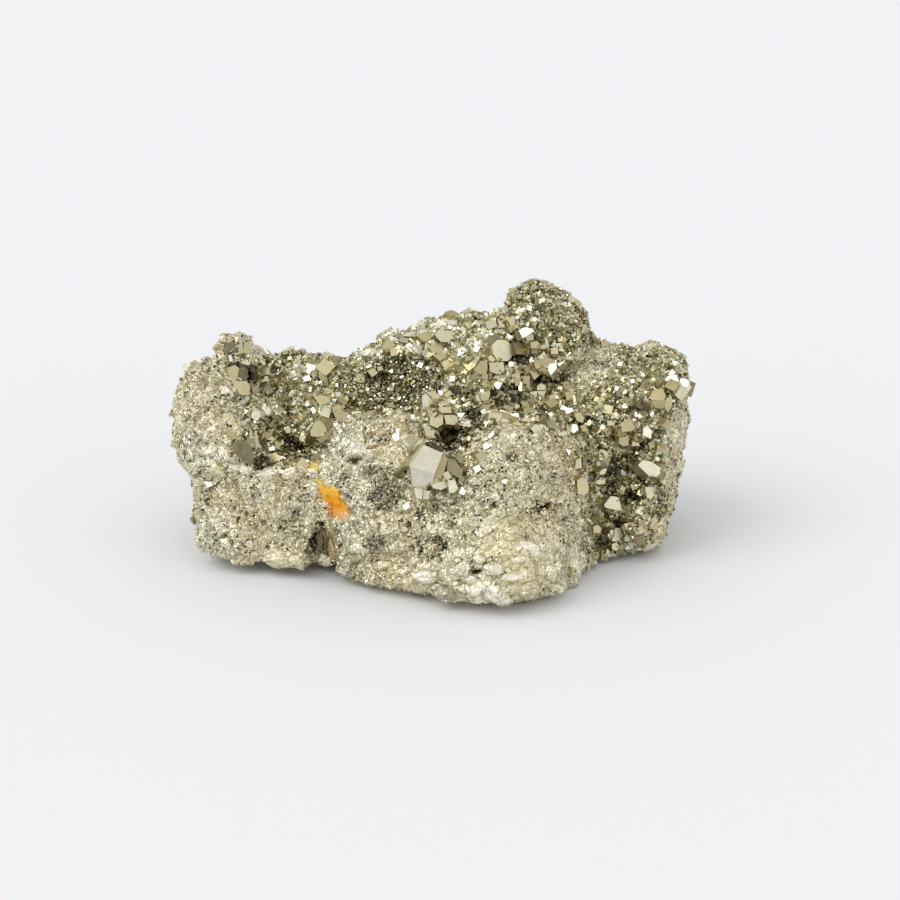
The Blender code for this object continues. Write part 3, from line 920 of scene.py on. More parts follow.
def rock_material(name, tilt, pits):
    """Broken pyrite: how far its fine grains tilt, and its fewest and most pits."""
    made, tree, shader = new_material(name, 0.85, 0.32)
    shape = node(tree, "ShaderNodeNewGeometry").outputs["Normal"]
    calm = face_value(tree, "calm")
    plates = grainy(tree, shape, *PLATE_CELLS).outputs["Normal"]
    coarse = grainy(tree, plates, *COARSE_CELLS).outputs["Normal"]
    fine = grainy(tree, coarse, FINE_CELLS, ranged(tree, calm, 0.0, 1.0, tilt, tilt * 0.5))
    colour = shaded_and_specked(tree, grain_colour(tree, fine.outputs["Shade"]), calm, pits)
    tree.links.new(colour, shader.inputs["Base Color"])
    dull = ranged(tree, fine.outputs["Shade"], 0.0, 1.0, *ROCK_DULL)
    tree.links.new(dull, shader.inputs["Roughness"])
    tree.links.new(fine.outputs["Normal"], shader.inputs["Normal"])
    return made


GRANULAR = rock_material("granular pyrite", 1.0, (0.02, 0.52))
SMOOTHER = rock_material("pale pyrite", 0.42, (0.0, 0.08))
rock.data.materials.clear()
rock.data.materials.append(GRANULAR)
print("rock nodes:", len(GRANULAR.node_tree.nodes))

# %% [markdown]
# ## Crystal material
#
# A crystal face is a flat mirror with a faint film on it. The tint of a crystal runs from almost black
# through olive and tan to pale cream, and the polish of a face from bright to satin. The tint paints in
# light and shade as well as colour: its black end is painted shade and its cream end partly painted
# reflection, and the polish greys some faces a little as painted shade. A little noise in the roughness is
# the film. Fine, faint lines in the bump are the growth lines that pyrite's faces carry. The fine druse
# takes the same material, smoother and a little cooler.

# %% Crystal material
CRYSTAL_TINTS_AND_SHADES = (
    (0.0, (0.045, 0.042, 0.03, 1)),
    (0.14, (0.2, 0.185, 0.12, 1)),
    (0.3, (0.32, 0.275, 0.145, 1)),
    (0.5, (0.54, 0.465, 0.26, 1)),
    (0.7, (0.68, 0.605, 0.37, 1)),
    (0.85, (0.71, 0.68, 0.49, 1)),
    (1.0, (0.93, 0.895, 0.75, 1)),
)
DRUSE_WASH = (0.94, 0.985, 1.0, 1)
MOTTLE = (0.36, 0.33, 0.2, 1)
MOTTLE_MOST = 0.18
FILM = (-0.05, 0.12)  # what the film adds to the roughness
GROWTH_CELLS = (420, 2600, 2600)  # to the metre: long along x, and narrow across
GROWTH_STRENGTH = 0.3
GROWTH_DEEP = 0.05 * MM


def face_colour(tree, polish_and_shade, wash):
    """A crystal's colour with its painted light and shade, greyer on some faces as painted shade, with
    clouds and a mottle.
    """
    tint_and_shade = colour_ramp(tree, face_value(tree, "tint_and_shade"), CRYSTAL_TINTS_AND_SHADES)
    cloud = ranged(tree, noise(tree, 300.0), 0.3, 0.7, 0.9, 1.08)
    shade = reckon(tree, "MULTIPLY", ranged(tree, polish_and_shade, 0.0, 1.0, 0.78, 1.0), cloud)
    grey = node(tree, "ShaderNodeCombineColor", {0: shade, 1: shade, 2: shade}).outputs[0]
    mottle = ranged(tree, noise(tree, 1600.0, 3.0), 0.35, 0.65, 0.0, MOTTLE_MOST)
    return mixed(tree, mottle, washed(tree, washed(tree, tint_and_shade, grey), wash), MOTTLE)


def growth_lines(tree):
    """Noise drawn out along x, as a bump."""
    place = node(tree, "ShaderNodeTexCoord").outputs["Object"]
    drawn = node(tree, "ShaderNodeVectorMath", {0: place, 1: GROWTH_CELLS}, operation="MULTIPLY").outputs[0]
    lines = node(tree, "ShaderNodeTexNoise", {"Vector": drawn, "Scale": 1.0, "Detail": 2.0}).outputs["Fac"]
    return node(tree, "ShaderNodeBump",
                {"Height": lines, "Strength": GROWTH_STRENGTH, "Distance": GROWTH_DEEP}).outputs[0]


def crystal_material(name, smooth, rough, wash):
    made, tree, shader = new_material(name, 1.0, 0.2)
    polish_and_shade = face_value(tree, "polish_and_shade")
    tree.links.new(face_colour(tree, polish_and_shade, wash), shader.inputs["Base Color"])
    gloss = ranged(tree, polish_and_shade, 0.0, 1.0, smooth, rough)
    film = ranged(tree, noise(tree, 700.0, 3.0), 0.3, 0.7, *FILM)
    tree.links.new(reckon(tree, "ADD", gloss, film), shader.inputs["Roughness"])
    tree.links.new(growth_lines(tree), shader.inputs["Normal"])
    return made


BRIGHT = crystal_material("crystal faces", 0.12, 0.42, NO_WASH)
DRUSE = crystal_material("fine druse", 0.1, 0.3, DRUSE_WASH)
print("crystal nodes:", len(BRIGHT.node_tree.nodes))

# %% [markdown]
# ## Broken grains
#
# Chips of half a millimetre to two millimetres cover the broken faces and break up their outline. They are
# hulls of random corners, sunk in the rock by a third or so, in the rock's own material, and each has a
# tone of its own. In the three pitted places the chips are finer and run from black to white, and their
# black is painted shade among the pits. On the foot, rounded lumps of up to four millimetres lie among
# them.

# %% Broken grains
HALF_DIAGONAL = 0.87  # from the middle of a cube to its corner, in sides


def scattered(zones, count, sizes, kinds, seed, skew, sink):
    """Batches of patterns of some sizes over some zones, sunk into the rock."""
    chance = np.random.default_rng(seed)
    weight = sum(masks[zone] * share for zone, share in zones.items())
    places, directions = surface.scatter(weight, count, chance)
    size = sizes[0] + (sizes[1] - sizes[0]) * chance.random(count) ** skew
    places = places - directions * (size * chance.uniform(*sink, size=count))[:, None]
    places[:, 2] = np.maximum(places[:, 2], CAD_BOX[0][2] + size * HALF_DIAGONAL)
    turns = random_turns(count, chance)
    kind = chance.choice(len(kinds), size=count)
    return [[pattern, places[kind == index], size[kind == index], turns[kind == index]]
            for index, pattern in enumerate(kinds)], chance


def dressed(name, mesh, material):
    """A piece with its material, fixed to the specimen."""
    piece = link(name, mesh)
    piece.data.materials.append(material)
    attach(piece, "root")
    return piece


def toned(name, batches, chance, material):
    """A piece of the rock: each copy's random number is its tone."""
    mesh = joined_mesh(name, batches, chance)
    face_attribute(mesh, "tone_and_shade", read(mesh.attributes["tint_and_shade"].data, "value", 1)[:, 0])
    return dressed(name, mesh, material)


def break_up(name, zones, count, sizes, tones, seed, skew=1.5, sink=(0.2, 0.42), kinds=GRAINS,
             material=GRANULAR):
    """Scatters grains of broken rock, each with its own tone."""
    batches, chance = scattered(zones, count, sizes, kinds, seed, skew, sink)
    for batch in batches:
        batch.append(chance.uniform(*tones, size=len(batch[1])))
    return toned(name, batches, chance, material)


break_up("coarse_grains", {"plain": 1, "right roof": 0.2}, 3800, (1.0 * MM, 2.1 * MM), (0.42, 0.68), 41)
break_up("fine_grains", {"plain": 1, "right roof": 1.4, "roof face": 2.6, "foot": 0.2}, 13400,
         (0.45 * MM, 1.1 * MM), (0.36, 0.74), 42)
break_up("pitted_grains", {"pitted left": 1, "pitted middle": 1, "pitted low": 1}, 1300,
         (0.35 * MM, 0.85 * MM), (0.0, 0.95), 44)
break_up("foot_lumps", {"foot": 1}, 90, (1.5 * MM, 4.2 * MM), (0.5, 0.72), 45, 1.8, (0.34, 0.46),
         PEBBLES, SMOOTHER)

# %% [markdown]
# ## Broken plates
#
# Between grain and lump the rock breaks into plates of a few millimetres, which lie along the surface
# with their edges showing. They are flattened hulls, laid on the rock's own direction with a little
# tilt and sunk almost to the top.

# %% Broken plates
PLATE_KINDS = 8
PLATE_CORNERS = 14
PLATE_SQUASH = (1, 0.78, 0.34)
PLATE_TILT = 0.16
PLATE_SINK = (0.03, 0.13)
PLATE_SKEW = 1.6
PLATE_REACH = 0.56  # a plate on edge reaches this far below its middle, in its own sizes


def turned_to(main, spin):
    """A turn with the pattern's up along a direction, spun about it by some degrees."""
    side = main.cross(UPWARD).normalized()
    other = main.cross(side)
    angle = math.radians(spin)
    first = side * math.cos(angle) + other * math.sin(angle)
    second = main.cross(first)
    return np.array([first, second, main]).T


def plate_pattern(chance):
    corners = on_ball(PLATE_CORNERS, chance)
    return hull_pattern([tuple(corner) for corner in corners * PLATE_SQUASH], upright=False)


def broken_plates(count, sizes, tones, seed):
    chance = np.random.default_rng(seed)
    patterns = [plate_pattern(chance) for _ in range(PLATE_KINDS)]
    places, directions = surface.scatter(masks["plain"], count, chance)
    size = sizes[0] + (sizes[1] - sizes[0]) * chance.random(count) ** PLATE_SKEW
    places = places - directions * (size * chance.uniform(*PLATE_SINK, size=count))[:, None]
    places[:, 2] = np.maximum(places[:, 2], CAD_BOX[0][2] + size * PLATE_REACH)
    leaning = directions + chance.normal(size=(count, 3)) * PLATE_TILT
    turns = np.array([turned_to(Vector(lean).normalized(), spin)
                      for lean, spin in zip(leaning, chance.uniform(0, 360, size=count))])
    kind = chance.choice(PLATE_KINDS, size=count)
    tint_and_shade = chance.uniform(*tones, size=count)
    batches = [(pattern, places[kind == index], size[kind == index], turns[kind == index],
                tint_and_shade[kind == index]) for index, pattern in enumerate(patterns)]
    return toned("broken_plates", batches, chance, GRANULAR)


broken_plates(1500, (1.8 * MM, 4.2 * MM), (0.44, 0.66), 43)

# %% [markdown]
# ## Painted light and shade on the druse
#
# In the gaps of the hollows little light gets in, so the druse there is painted almost black as shade,
# while some of its banks are painted bright as light. These places are given one by one, as ellipses on the
# picture.

# %% Painted light and shade on the druse
LIGHT_AND_SHADE_PATCHES = (  # across, down, width and height in pixels, and how much paler or darker
    (253, 374, 12, 22, -0.5), (290, 414, 12, 18, -0.5), (270, 432, 10, 14, -0.5), (288, 438, 14, 12, -0.5),
    (297, 450, 30, 24, -0.5), (262, 463, 16, 16, -0.5), (273, 465, 12, 10, -0.4), (452, 440, 42, 34, -0.5),
    (510, 396, 48, 28, -0.42), (540, 412, 22, 10, -0.4), (294, 412, 100, 106, 0.16),
    (430, 338, 130, 40, 0.2), (612, 480, 16, 60, -0.4), (632, 498, 24, 22, -0.45),
    (474, 418, 20, 28, -0.45), (640, 546, 38, 14, 0.35),
)
PATCH_EDGE = 2  # how fast a patch fades in from its edge
BARE = -0.3  # no crystal over a millimetre grows where the druse is darker than this


def light_and_shade_shift(places):
    """How much paler the crystals at some places are painted as light, and how much darker as shade."""
    spots = picture_of(places)
    shift = np.zeros(len(places))
    for across, down, wide, high, change in LIGHT_AND_SHADE_PATCHES:
        away = ((spots[:, 0] - across) / wide * 2) ** 2 + ((spots[:, 1] - down) / high * 2) ** 2
        shift += change * np.clip((1.0 - away) * PATCH_EDGE, 0, 1)
    return shift


print("druse patches:", len(LIGHT_AND_SHADE_PATCHES))

# %% [markdown]
# ## Crystals
#
# Sizes run from pinhead to pea. Each zone has its own mix. A crystal sits on the rock with its centre
# a little under the surface, turned at random, as crystals do that grew from scattered seeds. The
# roof's smooth face carries none. The ridge and the crest catch more light, so their crystals are paler.

# %% Crystals
MIXED = (CUBE, CUBE, BLOCK, PYRITOHEDRON, CUT_CUBE)
BIG = (CUBE, PYRITOHEDRON, PYRITOHEDRON, CUT_CUBE, BLOCK)
BARE_SIZE = 0.9 * MM  # pieces that begin below this size still grow on bare places
DARKEST = 0.02


def grow(name, zones, count, sizes, kinds, tints, seed, material, skew=1.0, sink=(0.0, 0.3)):
    """Scatters crystals of some sizes over some zones, as one piece."""
    batches, chance = scattered(zones, count, sizes, kinds, seed, skew, sink)
    for index, batch in enumerate(batches):
        # painted light and shade from the patches, added to each crystal's tint
        shift = light_and_shade_shift(batch[1])
        tint_and_shade = np.clip(chance.uniform(*tints, size=len(shift)) + shift, DARKEST, 1)
        keep = (shift > BARE) | (sizes[0] < BARE_SIZE)
        on_face = inside_outline(picture_of(batch[1]), ZONES["roof face"])
        keep &= ~on_face | (batch[1][:, 1] > CREST_BACK)
        batches[index] = [batch[0]] + [part[keep] for part in batch[1:]] + [tint_and_shade[keep]]
    return dressed(name, joined_mesh(name, batches, chance), material)


grow("large_crystals", {"left valley": 0.8, "ridge": 0.8, "pocket": 0.8, "right wall": 0.9, "crest": 0.4},
     170, (2.0 * MM, 3.4 * MM), BIG, (0.25, 0.8), 31, BRIGHT, 1.6, (0.2, 0.45))
grow("medium_crystals", {"left valley": 1, "pocket": 1, "right wall": 1, "bowl": 0.1, "knob": 0.1},
     700, (1.0 * MM, 2.2 * MM), MIXED, (0.2, 0.98), 32, BRIGHT, 1.5, (0.1, 0.4))
grow("upper_crystals", {"ridge": 1.2, "crest": 0.6, "right roof": 0.08},
     660, (1.0 * MM, 2.2 * MM), MIXED, (0.45, 1.0), 36, BRIGHT, 1.5, (0.1, 0.4))

# %% [markdown]
# ## Druse
#
# Between the crystals the rock is covered by druse: the same crystals, half a millimetre across and
# less, in tens of thousands. Eight-sided ones have the fewest faces, so they fill the gaps at little
# cost. Their material is the cooler one.

# %% Druse
SMALL = (0.55 * MM, 1.15 * MM)
grow("small_crystals", {"left valley": 1, "pocket": 1.2, "right wall": 1.2, "bowl": 0.2, "knob": 0.8},
     4200, SMALL, (CUBE, BLOCK), (0.12, 1.0), 33, DRUSE, 1.3)
grow("upper_small", {"ridge": 1, "crest": 0.6, "right roof": 0.4, "knob": 0.3},
     3600, SMALL, (CUBE, BLOCK), (0.4, 1.0), 37, DRUSE, 1.3)
grow("fine_druse", {"bowl": 2.2, "knob": 2.4, "pocket": 1.0, "left valley": 0.8, "right roof": 0.5,
                    "right wall": 0.7, "crest": 0.5, "ridge": 0.6},
     18500, (0.28 * MM, 0.58 * MM), (CUBE, OCTAHEDRON), (0.1, 1.0), 34, DRUSE)
grow("gap_druse", {"left valley": 1.4, "pocket": 1.2, "right wall": 1.5, "right roof": 0.5, "ridge": 0.6},
     15500, (0.36 * MM, 0.8 * MM), (OCTAHEDRON, OCTAHEDRON, CUBE), (0.1, 1.0), 35, DRUSE)

# %% [markdown]
# ## Faces that can be told one by one
#
# The crystals that catch the eye aren't left to chance. Each is given by the outline of its front face
# on the picture, and the prism behind that face widens a little and roots in the rock, so that it is a
# solid crystal and not a card. A face starts where the rock behind its corners is nearest to the eye,
# so that nothing covers it.

# %% Faces that can be told one by one
rock_tree = BVHTree.FromObject(rock, bpy.context.evaluated_depsgraph_get())
FACET_FLARE = 1.08
FACET_DEEPEST = 0.4  # how far a face may stand ahead of the rock at its middle, in its widths
ROOT_MOST = 0.9  # how far a crystal may reach behind its face, in its widths
ROOT_MORE = 0.4 * MM


def facing(right, up):
    """The direction that looks right and up by so much, and else at the eye."""
    towards = math.sqrt(max(0.0, 1 - right * right - up * up))
    return ACROSS * right + UPWARD * up - AHEAD * towards


def prism_mesh(front, back, main, centre):
    """The corners and the faces of a prism, from its front and its back ring."""
    points = np.array([(corner - centre) / MM for corner in front + back])
    count = len(front)
    rings = [list(range(count))[::-1], list(range(count, 2 * count))]
    rings += [[index, (index + 1) % count, count + (index + 1) % count, count + index]
              for index in range(count)]
    if (front[1] - front[0]).cross(front[2] - front[0]).dot(main) < 0:
        rings = [ring[::-1] for ring in rings]
    return points, np.concatenate(rings), np.array([len(ring) for ring in rings])


def facet_prism(corners, main, lift, tint_and_shade):
    """A crystal whose front face fills an outline on the picture, clear of the rock, and roots in it."""
    middle = tuple(sum(corner[axis] for corner in corners) / len(corners) for axis in range(2))
    lines = [sight_line(corner) for corner in corners]
    hits = [rock_tree.ray_cast(EYE, line)[3] for line in lines + [sight_line(middle)]]
    if hits[-1] is None:
        return None
    width = max((Vector(a) - Vector(b)).length for a in corners for b in corners) * PIXEL
    slopes = [sight_line(middle).dot(main) / line.dot(main) for line in lines] + [1.0]
    known = [(hit, slope) for hit, slope in zip(hits, slopes) if hit is not None]
    nearest = min(hit / slope for hit, slope in known)
    ahead = max(nearest, hits[-1] - FACET_DEEPEST * width) - lift * MM
    front = [EYE + line * ahead * slope for line, slope in zip(lines, slopes)]
    centre = sum(front, Vector()) / len(front)
    root = min(ROOT_MOST * width, max(hit - ahead * slope for hit, slope in known)) + ROOT_MORE
    back = [centre + (corner - centre) * FACET_FLARE - main * root for corner in front]
    return (prism_mesh(front, back, main, centre), np.array([centre]), np.array([MM]),
            np.array([np.eye(3)]), np.array([tint_and_shade]))


def seat(pixel, size, sink):
    """The place for a crystal of some size on the rock behind a pixel, or None."""
    found, _, _, _ = rock_tree.ray_cast(EYE, sight_line(pixel))
    if found is None:
        print("no rock behind", pixel)
        return None
    return found - sight_line(pixel) * size * (0.5 - sink)


print("rock behind the middle of the picture:", seat((450, 450), 0, 0) is not None)

# %% [markdown]
# ## Faces of the peak
#
# The left block ends in a peak that is overgrown with small blocky crystals, olive below and almost
# white at the tips. They are cut one against the other, so their outlines share corners.

# %% Faces of the peak
# A face's tint paints in the light and shade it shows as well as its colour: tints near 0 are painted shade
# in gaps, and the palest are partly painted reflection.
PEAK_FACES = (  # tint, lift in mm, then across and down in pixels for each corner
    (0.52, 0.3, 227, 368, 235, 365, 239, 368, 237, 379, 230, 380),
    (0.48, 0.3, 239, 368, 243, 367, 248, 371, 247, 380, 237, 379),
    (0.56, 0.3, 231, 381, 247, 381, 250, 388, 248, 395, 241, 395, 236, 389),
    (0.15, 0.3, 223, 349, 227, 343, 232, 342, 235, 345, 229, 351, 226, 355),
    (0.74, 0.5, 229, 352, 236, 345, 243, 343, 243, 353, 236, 355),
    (0.10, 1.0, 231, 352, 235, 347, 238, 347, 239, 352),
    (0.45, 0.5, 244, 342, 249, 342, 249, 348, 247, 353, 243, 353),
    (0.86, 0.6, 252, 363, 261, 359, 266, 364, 259, 368, 257, 374),
    (0.4, 0.6, 266, 364, 267, 369, 265, 374, 259, 374, 259, 368),
    (0.95, 0.4, 228, 356, 231, 354, 233, 361, 230, 362),
    (0.62, 0.3, 259, 377, 268, 376, 269, 381, 260, 382),
    (0.58, 0.3, 247, 384, 252, 382, 254, 386, 250, 391),
    (0.66, 0.3, 252, 388, 259, 384, 259, 391, 253, 396),
)
print("peak:", len(PEAK_FACES), "faces")

# %% [markdown]
# ## Faces of the left valley
#
# Behind the left block the crystals stand free in a hollow: blocks of up to four millimetres with
# dark gaps between them. The tints alternate, because one side of each block mirrors the dark room.

# %% Faces of the left valley
VALLEY_FACES = (  # as for the peak
    (0.46, 1.2, 232, 446, 238, 440, 245, 440, 246, 452, 244, 461, 236, 455),
    (0.17, 1.2, 245, 440, 250, 445, 254, 455, 251, 464, 244, 461, 246, 452),
    (0.50, 0.3, 226, 432, 234, 431, 237, 439, 229, 440),
    (0.76, 0.8, 249, 438, 258, 435, 258, 445, 252, 445),
    (0.60, 0.5, 248, 431, 253, 428, 257, 431, 257, 436, 249, 437),
    (0.34, 0.5, 259, 435, 268, 431, 271, 437, 262, 444),
    (0.50, 0.4, 260, 446, 266, 445, 268, 452, 261, 451),
    (0.47, 0.4, 275, 441, 281, 443, 280, 451, 275, 449),
    (0.76, 0.6, 266, 456, 276, 452, 280, 458, 273, 460),
    (0.60, 0.8, 302, 457, 310, 465, 305, 470, 296, 465),
    (0.72, 0.4, 286, 462, 293, 459, 296, 461, 292, 466),
    (0.36, 0.5, 271, 415, 278, 414, 281, 421, 275, 422),
    (0.74, 0.5, 271, 422, 276, 422, 277, 428, 272, 426), (0.92, 0.5, 278, 413, 284, 412, 282, 417),
    (0.18, 0.3, 282, 416, 287, 415, 288, 421, 284, 423),
    (0.66, 0.4, 276, 431, 281, 429, 285, 433, 282, 436),
    (0.64, 0.4, 285, 428, 291, 428, 290, 433, 286, 433),
    (0.68, 0.8, 314, 397, 321, 395, 329, 397, 330, 402, 321, 407),
    (0.42, 0.5, 312, 399, 316, 402, 319, 410, 313, 405),
    (0.80, 0.9, 324, 406, 331, 409, 329, 418, 319, 415),
    (0.60, 0.6, 332, 407, 340, 405, 341, 410, 333, 412),
    (0.6, 0.9, 333, 412, 341, 410, 349, 413, 347, 420, 337, 422),
    (0.2, 0.7, 341, 409, 355, 410, 354, 417, 347, 420, 349, 413),
    (0.60, 0.9, 310, 431, 315, 422, 323, 420, 327, 431, 319, 437, 311, 436),
    (0.45, 0.7, 323, 420, 332, 421, 333, 428, 327, 431),
    (0.36, 0.7, 319, 438, 327, 432, 333, 430, 328, 439, 319, 444),
    (0.86, 0.9, 306, 429, 312, 422, 314, 423, 308, 431),
)
print("valley:", len(VALLEY_FACES), "faces")

# %% [markdown]
# ## Faces of the heart
#
# In the middle of the specimen the largest blocks crowd round the main crystal, with wide flat faces.

# %% Faces of the heart
HEART_FACES = (  # as for the peak
    (0.72, 1.0, 430, 417, 433, 414, 443, 415, 443, 424, 437, 428, 430, 425),
    (0.50, 0.6, 437, 429, 443, 425, 443, 430, 436, 433),
    (0.74, 1.0, 444, 415, 455, 415, 459, 420, 454, 425, 446, 424),
    (0.35, 0.4, 459, 420, 462, 421, 461, 428, 455, 430, 454, 426),
    (0.68, 0.8, 439, 407, 451, 407, 451, 413, 439, 413),
    (0.55, 0.5, 451, 407, 457, 408, 456, 414, 451, 413),
    (0.60, 0.6, 439, 402, 447, 400, 451, 406, 439, 406),
    (1.00, 0.9, 426, 393, 432, 400, 429, 404, 423, 408, 422, 401, 422, 396),
    (0.62, 0.6, 427, 393, 433, 391, 441, 396, 439, 399, 433, 399),
    (0.40, 0.4, 433, 399, 439, 399, 438, 405, 431, 405),
    (0.70, 0.6, 444, 395, 449, 391, 452, 394, 447, 398),
    (0.02, 0.5, 453, 387, 457, 385, 461, 386, 462, 393, 458, 394, 454, 391),
    (0.78, 0.7, 423, 426, 429, 426, 433, 433, 432, 440, 427, 439, 425, 432),
    (0.72, 1.8, 404, 440, 410, 436, 418, 439, 413, 446),
    (0.88, 1.6, 402, 442, 404, 440, 413, 446, 411, 451),
    (0.98, 1.6, 413, 446, 418, 441, 421, 443, 419, 449, 412, 451),
    (0.40, 1.0, 442, 457, 448, 458, 444, 473, 441, 478, 436, 478, 435, 473, 438, 464),
    (0.56, 1.3, 448, 458, 455, 460, 463, 471, 461, 479, 455, 476, 447, 470),
    (0.8, 1.7, 443, 473, 448, 471, 452, 477, 448, 480, 444, 478),
    (0.93, 1.8, 430, 483, 441, 476, 448, 480, 449, 486, 441, 490, 433, 488),
    (0.94, 1.7, 448, 480, 455, 480, 458, 488, 454, 493, 449, 493),
    (0.70, 0.5, 455, 457, 462, 455, 464, 464, 459, 463),
    (0.94, 1.7, 414, 488, 423, 488, 422, 499, 416, 498), (0.9, 1.5, 423, 490, 430, 491, 429, 499, 423, 499),
    (0.42, 0.6, 405, 466, 409, 459, 415, 453, 421, 443, 424, 445, 417, 463, 410, 466),
)
print("heart:", len(HEART_FACES), "faces")

# %% [markdown]
# ## Faces of the nook
#
# Between the round knob and the right block the crest dips to a nook, where well-formed crystals sit in
# the shade. They are mid-toned, with a few pale edges.

# %% Faces of the nook
NOOK_FACES = (  # as for the peak
    (0.80, 1.2, 492, 345, 497, 340, 506, 340, 513, 346, 514, 354, 508, 361, 498, 361, 493, 354),
    (0.74, 0.9, 488, 335, 499, 335, 501, 341, 493, 345, 489, 344),
    (0.60, 0.6, 525, 336, 533, 334, 534, 340, 527, 341),
    (0.60, 0.6, 531, 342, 537, 341, 541, 345, 540, 349, 531, 348),
    (0.32, 0.5, 531, 348, 540, 349, 538, 354, 532, 353),
    (0.66, 0.6, 541, 345, 549, 344, 549, 349, 541, 349),
    (0.66, 0.6, 551, 348, 558, 348, 558, 354, 551, 354),
    (0.92, 0.6, 538, 357, 543, 353, 547, 355, 546, 358, 540, 359),
    (0.62, 0.6, 534, 363, 541, 360, 543, 367, 536, 369),
    (0.70, 0.6, 542, 371, 547, 366, 548, 375, 544, 374),
    (0.70, 0.6, 530, 371, 536, 369, 540, 375, 534, 380), (0.74, 0.6, 512, 361, 521, 369, 515, 371),
    (0.50, 0.5, 512, 374, 520, 373, 520, 381, 513, 382), (0.6, 0.5, 523, 376, 530, 376, 530, 388, 523, 389),
    (0.82, 2.4, 537, 386, 541, 383, 546, 386, 545, 390, 537, 390),
    (0.78, 2.4, 537, 391, 546, 391, 544, 396, 539, 396),
    (0.78, 0.6, 548, 383, 553, 383, 554, 392, 549, 393),
    (0.62, 0.6, 549, 396, 555, 393, 561, 395, 560, 403, 550, 403),
    (0.48, 0.5, 565, 392, 573, 391, 574, 400, 567, 402),
    (0.86, 0.6, 530, 392, 537, 391, 537, 400, 531, 401),
    (0.66, 0.6, 480, 393, 490, 391, 490, 400, 482, 401),
    (0.26, 0.4, 515, 331, 522, 330, 523, 340, 517, 341),
    (0.24, 0.3, 514, 342, 528, 345, 527, 355, 516, 354),
    (0.78, 0.6, 489, 363, 503, 362, 505, 371, 498, 374, 490, 372),
    (0.72, 0.5, 507, 319, 514, 316, 518, 322, 511, 327),
    (0.46, 0.4, 508, 328, 517, 323, 518, 329, 511, 333),
    (0.52, 0.5, 550, 328, 556, 326, 563, 326, 564, 331, 557, 331),
    (0.20, 0.4, 556, 332, 563, 332, 562, 337, 557, 337),
    (0.50, 0.3, 601, 342, 605, 341, 607, 346, 602, 347),
)
print("nook:", len(NOOK_FACES), "faces")

# %% [markdown]
# ## Faces of the right roof and wall
#
# The right block is steeper. Crystals stud the edge of its roof and hang on its wall, most of them in
# half shade, and those at the outline bright.

# %% Faces of the right roof and wall
RIGHT_FACES = (  # as for the peak
    (0.82, 0.8, 668, 391, 676, 385, 687, 388, 688, 393, 681, 401, 676, 396),
    (0.56, 0.8, 650, 396, 655, 389, 663, 389, 666, 396, 664, 400, 651, 400),
    (0.42, 0.7, 652, 400, 666, 400, 665, 407, 660, 409, 654, 407),
    (0.46, 0.5, 645, 405, 648, 400, 653, 401, 653, 408),
    (0.60, 0.5, 666, 398, 672, 397, 672, 405, 668, 413, 665, 408),
    (0.20, 0.4, 635, 404, 643, 398, 643, 409, 638, 408),
    (0.64, 0.9, 621, 423, 629, 418, 639, 425, 632, 431, 622, 432),
    (1.00, 0.8, 643, 428, 647, 426, 652, 431, 651, 439, 643, 435),
    (0.55, 0.9, 619, 438, 622, 435, 628, 436, 629, 445, 623, 446, 619, 443),
    (0.80, 0.7, 632, 435, 635, 435, 640, 446, 632, 446),
    (0.70, 0.5, 648, 443, 653, 441, 655, 447, 650, 449),
    (0.78, 0.5, 613, 446, 617, 445, 622, 449, 620, 451, 613, 450),
    (0.9, 1.2, 638, 465, 643, 460, 652, 462, 661, 468, 658, 476, 649, 476),
    (0.92, 1.4, 652, 474, 660, 469, 660, 474, 655, 477),
    (0.17, 0.6, 634, 467, 638, 466, 649, 476, 646, 480, 638, 475),
    (0.84, 0.8, 645, 487, 653, 487, 654, 496, 651, 499, 647, 498),
    (0.76, 0.4, 659, 480, 664, 478, 667, 481, 664, 485),
    (0.88, 1.0, 611, 496, 618, 497, 623, 511, 606, 508, 604, 505),
    (0.97, 0.7, 635, 512, 640, 507, 645, 509, 641, 515), (0.8, 0.6, 607, 524, 613, 518, 615, 521, 614, 526),
    (0.62, 0.5, 593, 527, 598, 524, 602, 529, 600, 533, 594, 533),
    (0.98, 0.9, 610, 531, 615, 529, 615, 535, 613, 539),
    (0.9, 0.9, 615, 528, 621, 528, 623, 536, 618, 541, 612, 541, 615, 535),
    (0.02, 0.6, 601, 537, 606, 535, 608, 540, 603, 543),
    (0.8, 0.5, 612, 544, 617, 542, 620, 547, 616, 551, 612, 549),
    (0.78, 0.6, 599, 468, 604, 466, 607, 469, 605, 474, 598, 475),
    (0.64, 0.5, 630, 485, 634, 484, 636, 488, 633, 491),
    (0.86, 0.5, 624, 482, 627, 480, 629, 483, 626, 485),
    (0.72, 0.5, 596, 480, 605, 480, 605, 484, 596, 484),
    (0.62, 0.5, 595, 493, 599, 491, 603, 496, 600, 498),
    (0.40, 0.5, 638, 521, 644, 520, 645, 526, 639, 528),
    (0.72, 0.5, 636, 529, 641, 526, 646, 530, 641, 534),
    (0.66, 0.5, 624, 524, 630, 522, 632, 527, 627, 530),
)
print("right roof and wall:", len(RIGHT_FACES), "faces")

# %% [markdown]
# ## Faces of the crest
#
# Along the crest the crystals meet the light from above, and their upper faces are the palest.

